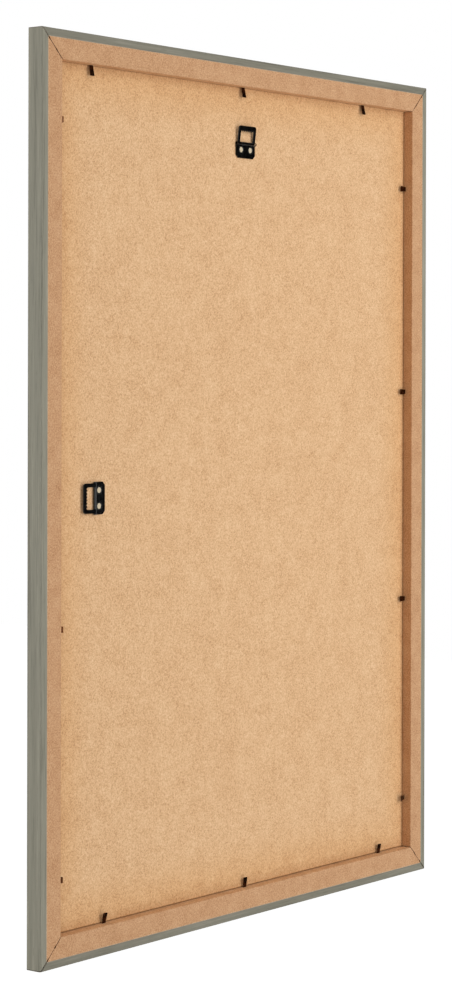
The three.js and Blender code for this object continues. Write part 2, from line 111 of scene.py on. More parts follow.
class Take(Enum):
    """What a selection on the workbench takes hold of."""

    VERTS = "VERT"
    EDGES = "EDGE"
    FACES = "FACE"


class Blend(Enum):
    """How one colour goes over another."""

    COVER = "MIX"
    TINT = "MULTIPLY"


class Kind(Enum):
    """What a socket of a node group carries."""

    COLOUR = "NodeSocketColor"
    VALUE = "NodeSocketFloat"
    VECTOR = "NodeSocketVector"


class Grain(Enum):
    """The way the printed grain runs, as the turn that brings it onto the pattern's Z axis."""

    ALONG_Z = (0.0, 0.0, 0.0)
    ALONG_X = (0.0, math.pi / 2, 0.0)


class Side(Enum):
    """The sides of the frame, as quarter turns from the top."""

    TOP = 0
    RIGHT = 1
    BOTTOM = 2
    LEFT = 3

    @property
    def label(self) -> str:
        """The side's word in the names of pieces."""
        return self.name.lower()

    @property
    def upright(self) -> bool:
        """Whether the rail on this side stands upright."""
        return self in (Side.RIGHT, Side.LEFT)

    @property
    def grain(self) -> Grain:
        """The way the foil's grain runs on this side, which is along the rail."""
        return Grain.ALONG_Z if self.upright else Grain.ALONG_X


# Workbench


def clear_bench() -> None:
    """Lets go of everything, so that the next operator takes hold of new work alone."""
    bpy.ops.object.select_all(action="DESELECT")


def only(piece: Piece) -> None:
    """Selects one piece alone and makes it the active one.

    Args:
        piece: The piece.
    """
    clear_bench()
    piece.select_set(True)
    bpy.context.view_layer.objects.active = piece


def just_made(name: str) -> Piece:
    """Names the piece that was just added, and its mesh.

    Args:
        name: The name of both.

    Returns:
        The piece.
    """
    piece = bpy.context.object
    piece.name = piece.data.name = name
    return piece


def apply_place() -> None:
    """Works the place, turn and scale of the selected piece into its mesh."""
    bpy.ops.object.transform_apply(location=True, rotation=True, scale=True)


@contextmanager
def editing(piece: Piece) -> Iterator[None]:
    """Opens a piece in edit mode with all of it selected, and closes it again.

    Args:
        piece: The piece to open.

    Yields:
        Nothing. The piece is open as long as the block runs.
    """
    only(piece)
    bpy.ops.object.mode_set(mode="EDIT")
    bpy.ops.mesh.select_all(action="SELECT")
    yield
    bpy.ops.object.mode_set(mode="OBJECT")


def near(value: float, target: float) -> bool:
    """Whether two lengths on the workbench agree."""
    return abs(value - target) < AGREES


def middle_of(element: Element) -> Vector:
    """The middle of a part of a mesh.

    Args:
        element: A vertex, an edge or a face.

    Returns:
        The mean of its corners.
    """
    if isinstance(element, bmesh.types.BMVert):
        return element.co.copy()
    corners = [vert.co for vert in element.verts]
    return sum(corners, Vector()) / len(corners)


def choose(take: Take, test: Callable[[Vector], bool]) -> None:
    """Selects by place on the piece that is open in edit mode.

    Args:
        take: Whether vertices, edges or faces are selected.
        test: Says for the middle of an element whether it is selected.
    """
    data = bpy.context.edit_object.data
    mesh = bmesh.from_edit_mesh(data)
    kinds = {Take.VERTS: mesh.verts, Take.EDGES: mesh.edges, Take.FACES: mesh.faces}
    bpy.context.tool_settings.mesh_select_mode = [kind is take for kind in Take]
    mesh.select_mode = {take.value}
    for elements in kinds.values():
        for element in elements:
            element.select = False
    for element in kinds[take]:
        element.select_set(test(middle_of(element)))
    mesh.select_flush_mode()
    bmesh.update_edit_mesh(data)


def choose_level_edge(height: float) -> None:
    """Selects the edge that lies level across the workbench's middle at a height."""
    choose(Take.EDGES, lambda at: near(at.z, height) and near(at.x, 0))


def extrude_edges(step: Sequence[float]) -> None:
    """Draws the selected edges out into faces, by a step."""
    bpy.ops.mesh.extrude_region_move(TRANSFORM_OT_translate={"value": tuple(step)})


def slice_off(point: Sequence[float], normal: Sequence[float], clear: bool = True) -> None:
    """Cuts the whole piece that is open in edit mode with a plane.

    Args:
        point: A point on the plane.
        normal: The plane's normal, which points to the waste.
        clear: Whether the waste is taken away, or only an edge is scored.
    """
    bpy.ops.mesh.select_all(action="SELECT")
    bpy.ops.mesh.bisect(plane_co=point, plane_no=normal, clear_outer=clear, threshold=SCORE)


def sheet_blank(name: str, width: float, height: float, centre: Sequence[float]) -> Piece:
    """A flat sheet in the XZ plane that faces +Y.

    Args:
        name: The piece's name.
        width: Along X.
        height: Along Z.
        centre: The sheet's middle.

    Returns:
        The new piece.
    """
    clear_bench()
    bpy.ops.mesh.primitive_plane_add(size=1, location=centre, rotation=(-math.pi / 2, 0, 0))
    piece = just_made(name)
    piece.scale = (width, height, 1)
    apply_place()
    return piece


def use_modifier(piece: Piece, kind: str, **settings: object) -> None:
    """Adds a modifier to a piece, sets it and applies it.

    Args:
        piece: The piece.
        kind: The modifier's type.
        settings: The modifier's own properties.
    """
    only(piece)
    bpy.ops.object.modifier_add(type=kind)
    modifier = piece.modifiers[-1]
    for setting, value in settings.items():
        setattr(modifier, setting, value)
    bpy.ops.object.modifier_apply(modifier=modifier.name)


def thicken(piece: Piece, thickness: float, offset: float = 0.0, rim_slot: int = 0) -> None:
    """Gives a sheet its thickness.

    Args:
        piece: The sheet.
        thickness: The wall.
        offset: -1 grows it behind the sheet's face, 0 to both sides.
        rim_slot: The material slot of the cut edge.
    """
    use_modifier(
        piece,
        "SOLIDIFY",
        thickness=thickness,
        offset=offset,
        use_even_offset=True,
        material_offset_rim=rim_slot,
    )


def ease_edges(piece: Piece, width: float, segments: int = 2) -> None:
    """Rounds the sharp edges of a solid, clears faces without a size and shades it smooth.

    Args:
        piece: The solid.
        width: The rounding.
        segments: Facets across the rounding.
    """
    use_modifier(
        piece,
        "BEVEL",
        width=width,
        segments=segments,
        limit_method="ANGLE",
        angle_limit=math.radians(SHARP),
        use_clamp_overlap=True,
    )
    with editing(piece):
        bpy.ops.mesh.dissolve_degenerate(threshold=AGREES)
    shade(piece, SHARP)


def shade(piece: Piece, angle: float) -> None:
    """Shades a piece smooth and keeps its large flats flat.

    Args:
        piece: The piece.
        angle: Edges sharper than this, in degrees, stay sharp.
    """
    only(piece)
    bpy.ops.object.shade_smooth_by_angle(angle=math.radians(angle))
    use_modifier(piece, "WEIGHTED_NORMAL", keep_sharp=True)


def copied(piece: Piece, name: str) -> Piece:
    """Copies a piece with its mesh.

    Args:
        piece: The piece that is copied.
        name: The copy's name.

    Returns:
        The copy, which has a mesh of its own.
    """
    only(piece)
    bpy.ops.object.duplicate(linked=False)
    return just_made(name)


def settle(piece: Piece, place: Matrix) -> None:
    """Moves a piece from the workbench to its place in the frame.

    Args:
        piece: The piece, in millimetres.
        place: Where the workbench's origin goes, in metres.
    """
    piece.matrix_world = place @ Matrix.Scale(MM, 4)
    only(piece)
    apply_place()


def dress(piece: Piece, *materials: Material) -> None:
    """Gives a piece its materials.

    Args:
        piece: The piece.
        materials: One for each slot, in order.
    """
    piece.data.materials.clear()
    for material in materials:
        piece.data.materials.append(material)


def dress_node(node: str, material: Material) -> None:
    """Dresses a CAD node that is shown as it is, and reports it."""
    dress(frame["nodes"][node], material)
    LOG.info("%s: shown as it is, in %s", node, material.name)


def hand_over(piece: Piece, slot: str, *nodes: str) -> None:
    """Names what a finished piece stands for, and reports it.

    Args:
        piece: The piece, in its place.
        slot: The record's finish for it. Not used.
        nodes: The CAD nodes that it takes the place of.
    """
    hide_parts(*nodes)
    LOG.info("%s: %d faces, stands for %s", piece.name, len(piece.data.polygons), ", ".join(nodes))


# Nodes of the materials


def linear(red: int, green: int, blue: int) -> Colour:
    """A colour as the eye names it, 0 to 255, in the scale that shaders use."""
    parts = [channel / 255 for channel in (red, green, blue)]
    return tuple(part / 12.92 if part <= 0.04045 else ((part + 0.055) / 1.055) ** 2.4 for part in parts)


def rgba(colour: Colour) -> Covering:
    """A colour with full cover."""
    return (*colour, 1.0)


def grey(tone: float) -> Covering:
    """A grey with full cover, from 0 for black to 1 for white."""
    return rgba((tone, tone, tone))


@dataclass(frozen=True)
class Noise:
    """A noise: its cells to the metre, the finer layers on them, the layers' weight and its warp."""

    scale: float
    detail: float
    weight: float
    warp: float = 0.0


# Where nearly all values of a noise lie
NOISE_SPAN = (0.3, 0.7)


class NodeBench:
    """Lays out the nodes of one tree."""

    def __init__(self, tree: bpy.types.NodeTree) -> None:
        """Starts on an emptied tree."""
        self.tree = tree
        tree.nodes.clear()

    def add(self, kind: str, inputs: dict[Union[str, int], Feed], **settings: object) -> bpy.types.Node:
        """Adds a node.

        Args:
            kind: The node's type.
            inputs: Values or output sockets for its inputs, by name or number.
            settings: The node's own properties.

        Returns:
            The node.
        """
        node = self.tree.nodes.new(kind)
        for setting, value in settings.items():
            setattr(node, setting, value)
        for key, value in inputs.items():
            if isinstance(value, Socket):
                self.tree.links.new(value, node.inputs[key])
            else:
                node.inputs[key].default_value = value
        return node

    def own_place(self) -> Socket:
        """The Object coordinates of what wears the material."""
        return self.add("ShaderNodeTexCoord", {}).outputs["Object"]

    def mapped(
        self,
        place: Socket,
        scale: Triple = (1.0, 1.0, 1.0),
        turn: Triple = (0.0, 0.0, 0.0),
        shift: Triple = (0.0, 0.0, 0.0),
    ) -> Socket:
        """Coordinates that are scaled axis by axis, turned and moved."""
        inputs = {"Vector": place, "Scale": scale, "Rotation": turn, "Location": shift}
        return self.add("ShaderNodeMapping", inputs).outputs[0]

    def axes(self, vector: Socket) -> Outputs:
        """The parts X, Y and Z of a vector."""
        return self.add("ShaderNodeSeparateXYZ", {0: vector}).outputs

    def noise(self, place: Socket, noise: Noise) -> Socket:
        """The value of a noise at a place.

        Args:
            place: The coordinates.
            noise: The noise's own values.

        Returns:
            The value, from 0 to 1.
        """
        inputs = {
            "Vector": place,
            "Scale": noise.scale,
            "Detail": noise.detail,
            "Roughness": noise.weight,
            "Distortion": noise.warp,
        }
        return self.add("ShaderNodeTexNoise", inputs).outputs["Fac"]

    def between(self, value: Socket, span: Span, onto: Span = (0.0, 1.0)) -> Socket:
        """A value mapped smoothly from one span onto another and held at its ends."""
        inputs = {0: value, 1: span[0], 2: span[1], 3: onto[0], 4: onto[1]}
        return self.add("ShaderNodeMapRange", inputs, interpolation_type="SMOOTHSTEP").outputs[0]

    def even(self, value: Socket, span: Span) -> Socket:
        """A value mapped evenly from a span onto -1 to 1, and on beyond its ends."""
        inputs = {0: value, 1: span[0], 2: span[1], 3: -1.0, 4: 1.0}
        return self.add("ShaderNodeMapRange", inputs, clamp=False).outputs[0]

    def reckon(self, operation: str, first: Feed, second: Feed = 0.0) -> Socket:
        """The result of one operation on a value or two."""
        return self.add("ShaderNodeMath", {0: first, 1: second}, operation=operation).outputs[0]

    def plus(self, first: Feed, second: Feed) -> Socket:
        """Both values together."""
        return self.reckon("ADD", first, second)

    def minus(self, first: Feed, second: Feed) -> Socket:
        """The first value less the second."""
        return self.reckon("SUBTRACT", first, second)

    def times(self, first: Feed, second: Feed) -> Socket:
        """The first value times the second."""
        return self.reckon("MULTIPLY", first, second)

    def share(self, first: Feed, second: Feed) -> Socket:
        """The first value as a share of the second."""
        return self.reckon("DIVIDE", first, second)

    def larger(self, first: Feed, second: Feed) -> Socket:
        """The larger of two values."""
        return self.reckon("MAXIMUM", first, second)

    def smaller(self, first: Feed, second: Feed) -> Socket:
        """The smaller of two values."""
        return self.reckon("MINIMUM", first, second)

    def unsigned(self, value: Feed) -> Socket:
        """A value without its sign."""
        return self.reckon("ABSOLUTE", value)

    def mix(self, factor: Feed, under: Feed, over: Feed, blend: Blend = Blend.COVER) -> Socket:
        """A colour with another over it, as far as the factor says."""
        inputs = {0: factor, 6: under, 7: over}
        return self.add("ShaderNodeMix", inputs, data_type="RGBA", blend_type=blend.value).outputs[2]


Sockets = dict[str, Kind]

# What a group puts out that makes the whole surface of a material
SURFACE = {"Color": Kind.COLOUR, "Roughness": Kind.VALUE, "Height": Kind.VALUE}


class EffectGroup(ABC):
    """A shader node group with named sockets, built once and shared by materials."""

    name: ClassVar[str]
    sockets_in: ClassVar[Sockets]
    sockets_out: ClassVar[Sockets]

    def tree(self) -> bpy.types.NodeTree:
        """Finds the group's tree, or makes it on its first use.

        Returns:
            The tree, with its sockets and its nodes.
        """
        found = bpy.data.node_groups.get(self.name)
        if found:
            return found
        tree = bpy.data.node_groups.new(self.name, "ShaderNodeTree")
        for way, sockets in (("INPUT", self.sockets_in), ("OUTPUT", self.sockets_out)):
            for socket, kind in sockets.items():
                tree.interface.new_socket(name=socket, in_out=way, socket_type=kind.value)
        bench = NodeBench(tree)
        given = bench.add("NodeGroupInput", {})
        bench.add("NodeGroupOutput", self.build(bench, given.outputs))
        return tree

    @abstractmethod
    def build(self, bench: NodeBench, given: Outputs) -> dict[str, Socket]:
        """Lays out the effect and gives the sockets that it puts out, by name."""

    def place(self, bench: NodeBench, inputs: dict[str, Feed]) -> Outputs:
        """Places the group in a material with the material's own values."""
        return bench.add("ShaderNodeGroup", inputs, node_tree=self.tree()).outputs


@dataclass(frozen=True)
class BoardFibres(EffectGroup):
    """Pressed wood fibre: soft clouds, fine speckle, and stray pale and dark fibres."""

    name: ClassVar[str] = "board_fibres"
    sockets_in: ClassVar[Sockets] = {
        "Vector": Kind.VECTOR,
        "Base": Kind.COLOUR,
        "Pale": Kind.COLOUR,
        "Dark": Kind.COLOUR,
        "Clouds": Kind.VALUE,
        "Speckle": Kind.VALUE,
        "Flecks": Kind.VALUE,
    }
    sockets_out: ClassVar[Sockets] = SURFACE

    cloud: Noise = Noise(scale=60.0, detail=4.0, weight=0.7)
    speck: Noise = Noise(scale=780.0, detail=4.0, weight=0.6)
    strand: Noise = Noise(scale=2400.0, detail=2.0, weight=0.55, warp=0.9)
    strand_stretch: Triple = (0.14, 1.0, 1.0)
    strand_turns: Triple = (0.15, 1.2, 2.3)
    felt_span: Span = (1.05, 1.95)
    felt_weight: float = 0.7
    dark_strands: Span = (0.66, 0.76)
    pale_strands: Span = (0.65, 0.76)
    roughness: Span = (0.9, 0.78)

    def build(self, bench: NodeBench, given: Outputs) -> dict[str, Socket]:
        """Moves the colour between dark and pale by clouds, speckle and felt, and lays stray fibres over it.

        Args:
            bench: The group's nodes.
            given: What the material feeds to the group.

        Returns:
            Color, Roughness and Height.
        """
        place = given["Vector"]
        clouds = bench.even(bench.noise(place, self.cloud), NOISE_SPAN)
        speckle = bench.even(bench.noise(place, self.speck), NOISE_SPAN)
        layers = [self.strands(bench, place, turn) for turn in self.strand_turns]
        felt = bench.even(bench.plus(bench.plus(layers[0], layers[1]), layers[2]), self.felt_span)
        fine = bench.plus(speckle, bench.times(felt, self.felt_weight))
        tone = bench.plus(bench.times(clouds, given["Clouds"]), bench.times(fine, given["Speckle"]))
        colour = bench.mix(bench.larger(tone, 0.0), given["Base"], given["Pale"])
        colour = bench.mix(bench.larger(bench.times(tone, -1.0), 0.0), colour, given["Dark"])
        for layer, span, tint in (
            (layers[0], self.dark_strands, given["Dark"]),
            (layers[1], self.pale_strands, given["Pale"]),
        ):
            colour = bench.mix(bench.times(bench.between(layer, span), given["Flecks"]), colour, tint)
        roughness = bench.between(speckle, (-1.0, 1.0), self.roughness)
        return {"Color": colour, "Roughness": roughness, "Height": fine}

    def strands(self, bench: NodeBench, place: Socket, turn: float) -> Socket:
        """Thin fibres that lie one way in the board's plane."""
        turned = bench.mapped(place, turn=(0.0, turn, 0.0))
        return bench.noise(bench.mapped(turned, scale=self.strand_stretch), self.strand)


@dataclass(frozen=True)
class MitreSeam(EffectGroup):
    """The dark line of glue and saw cut where two rails meet at 45 degrees, with the origin in the middle."""

    name: ClassVar[str] = "mitre_seam"
    sockets_in: ClassVar[Sockets] = {
        "Vector": Kind.VECTOR,
        "Color": Kind.COLOUR,
        "Seam": Kind.COLOUR,
        "Width": Kind.VALUE,
    }
    sockets_out: ClassVar[Sockets] = {"Color": Kind.COLOUR}

    overhang: float = (OUTSIDE.z - OUTSIDE.x) / 2
    waver: Noise = Noise(scale=90.0, detail=3.0, weight=0.6)
    waver_span: Span = (0.4, 1.05)
    mark_places: Span = (0.2575, 0.2665)
    mark_length: float = 0.0014
    mark_swell: float = 0.8
    soft_edge: Span = (1.1, 0.7)

    def build(self, bench: NodeBench, given: Outputs) -> dict[str, Socket]:
        """Draws a line along the mitre's plane, which wavers and swells where nails were driven.

        Args:
            bench: The group's nodes.
            given: What the material feeds to the group.

        Returns:
            Color, with the line drawn over it.
        """
        axes = bench.axes(given["Vector"])
        along = bench.unsigned(axes["X"])
        across = bench.minus(bench.unsigned(axes["Z"]), along)
        off_plane = bench.unsigned(bench.minus(across, self.overhang))
        width = bench.between(bench.noise(given["Vector"], self.waver), NOISE_SPAN, self.waver_span)
        for place in self.mark_places:
            from_mark = bench.unsigned(bench.minus(along, place))
            swell = bench.between(from_mark, (self.mark_length, 0.0), (0.0, self.mark_swell))
            width = bench.plus(width, swell)
        line = bench.between(bench.share(off_plane, bench.times(given["Width"], width)), self.soft_edge)
        return {"Color": bench.mix(line, given["Color"], given["Seam"])}

    def drawn(self, bench: NodeBench, place: Socket, colour: Socket, seam: Colour, width: float) -> Socket:
        """Draws the seams over a material.

        Args:
            bench: The material's nodes.
            place: The Object coordinates of what wears it.
            colour: The colour so far.
            seam: The line's colour.
            width: The line's half width, in metres.

        Returns:
            The colour with its seams.
        """
        inputs = {
            "Vector": bench.mapped(place, shift=TO_MIDDLE),
            "Color": colour,
            "Seam": rgba(seam),
            "Width": width,
        }
        return self.place(bench, inputs)["Color"]


@dataclass(frozen=True)
class WoodPrint(EffectGroup):
    """Printed wood grain: broad bands, fine streaks and short dark pores, all along Z."""

    name: ClassVar[str] = "wood_print"
    sockets_in: ClassVar[Sockets] = {
        "Vector": Kind.VECTOR,
        "Base": Kind.COLOUR,
        "Pale": Kind.COLOUR,
        "Dark": Kind.COLOUR,
    }
    sockets_out: ClassVar[Sockets] = SURFACE

    band: Noise = Noise(scale=170.0, detail=2.0, weight=0.6, warp=0.3)
    band_stretch: Triple = (1.0, 1.0, 0.025)
    band_weight: float = 0.5
    streak: Noise = Noise(scale=800.0, detail=3.0, weight=0.65)
    streak_stretch: Triple = (1.0, 1.0, 0.03)
    pore: Noise = Noise(scale=1500.0, detail=1.0, weight=0.5)
    pore_stretch: Triple = (1.0, 1.0, 0.045)
    pore_shift: Triple = (0.2, 0.4, 0.1)
    pore_span: Span = (0.66, 0.72)
    pore_ink: float = 0.55
    pale_span: Span = (0.5, 0.66)
    dark_span: Span = (0.5, 0.34)
    roughness: Span = (0.5, 0.62)

    def build(self, bench: NodeBench, given: Outputs) -> dict[str, Socket]:
        """Moves the colour between dark and pale by bands and streaks, and cuts pores into it.

        Args:
            bench: The group's nodes.
            given: What the material feeds to the group.

        Returns:
            Color, Roughness and Height.
        """
        place = given["Vector"]
        bands = bench.noise(bench.mapped(place, scale=self.band_stretch), self.band)
        streaks = bench.noise(bench.mapped(place, scale=self.streak_stretch), self.streak)
        pore_place = bench.mapped(place, scale=self.pore_stretch, shift=self.pore_shift)
        pores = bench.between(bench.noise(pore_place, self.pore), self.pore_span)
        tone = bench.plus(bench.times(bands, self.band_weight), bench.times(streaks, 1 - self.band_weight))
        colour = bench.mix(bench.between(tone, self.pale_span), given["Base"], given["Pale"])
        colour = bench.mix(bench.between(tone, self.dark_span), colour, given["Dark"])
        colour = bench.mix(bench.times(pores, self.pore_ink), colour, given["Dark"])
        roughness = bench.between(streaks, NOISE_SPAN, self.roughness)
        return {"Color": colour, "Roughness": roughness, "Height": bench.minus(streaks, pores)}


@dataclass(frozen=True)
class SteelTone(EffectGroup):
    """Sheet steel from the press: faint clouds in the coating, fine scuffs and their relief."""

    name: ClassVar[str] = "steel_tone"
    sockets_in: ClassVar[Sockets] = {
        "Vector": Kind.VECTOR,
        "Base": Kind.COLOUR,
        "Scuffed": Kind.COLOUR,
        "Smooth": Kind.VALUE,
        "Rough": Kind.VALUE,
    }
    sockets_out: ClassVar[Sockets] = SURFACE

    cloud: Noise = Noise(scale=260.0, detail=3.0, weight=0.6)
    scuff: Noise = Noise(scale=2600.0, detail=2.0, weight=0.6)
    scuff_stretch: Triple = (0.12, 1.0, 1.0)
    scuff_span: Span = (0.62, 0.74)

    def build(self, bench: NodeBench, given: Outputs) -> dict[str, Socket]:
        """Changes the gloss by clouds, and lets scuffs show the paler steel.

        Args:
            bench: The group's nodes.
            given: What the material feeds to the group.

        Returns:
            Color, Roughness and Height.
        """
        place = given["Vector"]
        clouds = bench.between(bench.noise(place, self.cloud), NOISE_SPAN)
        scuff_place = bench.mapped(place, scale=self.scuff_stretch)
        scuffs = bench.between(bench.noise(scuff_place, self.scuff), self.scuff_span)
        colour = bench.mix(bench.times(scuffs, clouds), given["Base"], given["Scuffed"])
        duller = bench.times(clouds, bench.minus(given["Rough"], given["Smooth"]))
        return {"Color": colour, "Roughness": bench.plus(given["Smooth"], duller), "Height": scuffs}


def fresh_material(name: str) -> tuple[Material, NodeBench]:
    """Starts a material.

    Args:
        name: The material's name.

    Returns:
        The material and its empty node tree.
    """
    material = bpy.data.materials.new(name)
    material.use_nodes = True
    return material, NodeBench(material.node_tree)


def close_material(bench: NodeBench, effect: Effect, relief: float, plain: dict[str, float]) -> None:
    """Ends a material with a Principled shader.

    Args:
        bench: The material's nodes.
        effect: The Color, Roughness and Height that feed it.
        relief: The height of the bump, in metres.
        plain: Values for the shader's other sockets, the same all over.
    """
    bump = bench.add("ShaderNodeBump", {"Height": effect["Height"], "Distance": relief, "Strength": 1.0})
    fed = {"Base Color": effect["Color"], "Roughness": effect["Roughness"], "Normal": bump.outputs[0]}
    shader = bench.add("ShaderNodeBsdfPrincipled", {**fed, **plain})
    bench.add("ShaderNodeOutputMaterial", {"Surface": shader.outputs[0]})


# Finishes


@dataclass(frozen=True, kw_only=True)
class BoardFinish:
    """Bare fibreboard."""

    name: str
    base: Colour
    pale: Colour
    dark: Colour
    clouds: float
    speckle: float
    flecks: float
    relief: float = 0.00003
    specular: float = 0.2

    def colour(self, bench: NodeBench, place: Socket, fibres: Socket) -> Socket:
        """The board's colour, which other boards change."""
        return fibres

    def material(self) -> Material:
        """Makes the board's material.

        Returns:
            The material.
        """
        material, bench = fresh_material(self.name)
        place = bench.own_place()
        inputs = {
            "Vector": place,
            "Base": rgba(self.base),
            "Pale": rgba(self.pale),
            "Dark": rgba(self.dark),
            "Clouds": self.clouds,
            "Speckle": self.speckle,
            "Flecks": self.flecks,
        }
        effect = dict(BoardFibres().place(bench, inputs).items())
        effect["Color"] = self.colour(bench, place, effect["Color"])
        close_material(bench, effect, self.relief, {"Specular IOR Level": self.specular})
        return material


@dataclass(frozen=True, kw_only=True)
class RailBoardFinish(BoardFinish):
    """Fibreboard of the rails: the routed walls carry painted shade or painted light by the way they face,
    and the mitres show their seam.
    """

    # Upright walls: painted shade, partly the darker tone of the routed cut
    cut_upright: Colour = (0.93, 0.86, 0.76)
    # Level walls: painted light
    level_wall_painted_light: Colour = (1.1, 1.12, 1.08)
    flat_to_wall: Span = (0.6, 0.2)
    level_to_upright: Span = (0.2, 0.6)
    seam: Colour = linear(64, 40, 24)
    seam_width: float = 0.0007

    def colour(self, bench: NodeBench, place: Socket, fibres: Socket) -> Socket:
        """Paints shade on the upright walls, partly their darker routed cut, and light on the level walls,
        which are found by their normal, and draws the seams.

        Args:
            bench: The material's nodes.
            place: The Object coordinates.
            fibres: The board's own colour.

        Returns:
            The rail's colour.
        """
        axes = bench.axes(bench.add("ShaderNodeNewGeometry", {}).outputs["True Normal"])
        wall = bench.between(bench.unsigned(axes["Y"]), self.flat_to_wall)
        upright = bench.between(bench.unsigned(axes["X"]), self.level_to_upright)
        # Painted shade on the upright walls and painted light on the level walls, chosen by the normal
        cut = bench.mix(upright, rgba(self.level_wall_painted_light), rgba(self.cut_upright))
        walls_with_painted_light = bench.mix(wall, fibres, cut, Blend.TINT)
        return MitreSeam().drawn(bench, place, walls_with_painted_light, self.seam, self.seam_width)


@dataclass(frozen=True, kw_only=True)
class PanelBoardFinish(BoardFinish):
    """Thin fibreboard of the back panel, with painted shade towards its edges and a painted shadow of the gap
    along its sides and lower end.
    """

    half_width: float
    half_height: float
    # Painted shade: the panel is darkened and warmed towards its edges, where the rebate walls shade it
    tan: Colour = linear(249, 241, 228)
    tan_width: float = 0.05
    # Painted shadow: a dark line along the panel's sides and lower end stands for the shadow in the gap at
    # the rebate wall
    burn: Colour = (0.5, 0.4, 0.28)
    burn_width: float = 0.0013

    def colour(self, bench: NodeBench, place: Socket, fibres: Socket) -> Socket:
        """Paints shade by the distance from the nearest edge, and paints the gap's shadow along the sides and
        the lower end.

        Args:
            bench: The material's nodes.
            place: The Object coordinates.
            fibres: The board's own colour.

        Returns:
            The panel's colour.
        """
        axes = bench.axes(bench.mapped(place, shift=TO_MIDDLE))
        from_side = bench.minus(self.half_width, bench.unsigned(axes["X"]))
        from_end = bench.minus(self.half_height, bench.unsigned(axes["Z"]))
        from_foot = bench.plus(axes["Z"], self.half_height)
        # Painted shade towards the edges, and the gap's painted shadow along the sides and the lower end
        rebate_shaded = bench.between(bench.smaller(from_side, from_end), (self.tan_width, 0.0))
        in_gap_shadow = bench.between(bench.smaller(from_side, from_foot), (self.burn_width, 0.0))
        colour = bench.mix(rebate_shaded, fibres, rgba(self.tan), Blend.TINT)
        return bench.mix(in_gap_shadow, colour, rgba(self.burn), Blend.TINT)


@dataclass(frozen=True, kw_only=True)
class FoilFinish:
    """Decor foil with a printed grain along one axis."""

    name: str
    grain: Grain
    base: Colour
    pale: Colour
    dark: Colour
    seam: Colour = linear(36, 34, 22)
    seam_width: float = 0.001
    relief: float = 0.00002
    specular: float = 0.2

    def material(self) -> Material:
        """Makes the foil's material.

        Returns:
            The material.
        """
        material, bench = fresh_material(self.name)
        place = bench.own_place()
        inputs = {
            "Vector": bench.mapped(place, turn=self.grain.value),
            "Base": rgba(self.base),
            "Pale": rgba(self.pale),
            "Dark": rgba(self.dark),
        }
        effect = dict(WoodPrint().place(bench, inputs).items())
        effect["Color"] = MitreSeam().drawn(bench, place, effect["Color"], self.seam, self.seam_width)
        close_material(bench, effect, self.relief, {"Specular IOR Level": self.specular})
        return material


@dataclass(frozen=True, kw_only=True)
class SteelFinish:
    """Coated or bare sheet steel."""

    name: str
    base: Colour
    scuffed: Colour
    smooth: float
    rough: float
    metallic: float
    specular: float
    relief: float = 0.000004

    def material(self) -> Material:
        """Makes the steel's material.

        Returns:
            The material.
        """
        material, bench = fresh_material(self.name)
        inputs = {
            "Vector": bench.own_place(),
            "Base": rgba(self.base),
            "Scuffed": rgba(self.scuffed),
            "Smooth": self.smooth,
            "Rough": self.rough,
        }
        effect = SteelTone().place(bench, inputs)
        plain = {"Metallic": self.metallic, "Specular IOR Level": self.specular}
        close_material(bench, effect, self.relief, plain)
        return material


@dataclass(frozen=True, kw_only=True)
class PaneFinish:
    """Clear plastic sheet, with faint wiping marks in its gloss."""

    name: str = "clear_pane"
    tint: Colour = linear(250, 252, 252)
    index: float = 1.49
    wipe: Noise = Noise(scale=14.0, detail=4.0, weight=0.6)
    wipe_stretch: Triple = (1.0, 1.0, 0.3)
    wipe_span: Span = (0.4, 0.75)
    roughness: Span = (0.01, 0.06)

    def material(self) -> Material:
        """Makes the pane's material, which lets lamps through to the paper behind it.

        Returns:
            The material.
        """
        material, bench = fresh_material(self.name)
        wiped = bench.noise(bench.mapped(bench.own_place(), scale=self.wipe_stretch), self.wipe)
        inputs = {
            "Base Color": rgba(self.tint),
            "Roughness": bench.between(wiped, self.wipe_span, self.roughness),
            "IOR": self.index,
            "Transmission Weight": 1.0,
        }
        sheet = bench.add("ShaderNodeBsdfPrincipled", inputs)
        lets_light = bench.add("ShaderNodeBsdfTransparent", {"Color": rgba(self.tint)})
        path = bench.add("ShaderNodeLightPath", {}).outputs
        behind = bench.larger(path["Is Shadow Ray"], path["Is Diffuse Ray"])
        either = bench.add("ShaderNodeMixShader", {0: behind, 1: sheet.outputs[0], 2: lets_light.outputs[0]})
        bench.add("ShaderNodeOutputMaterial", {"Surface": either.outputs[0]})
        return material


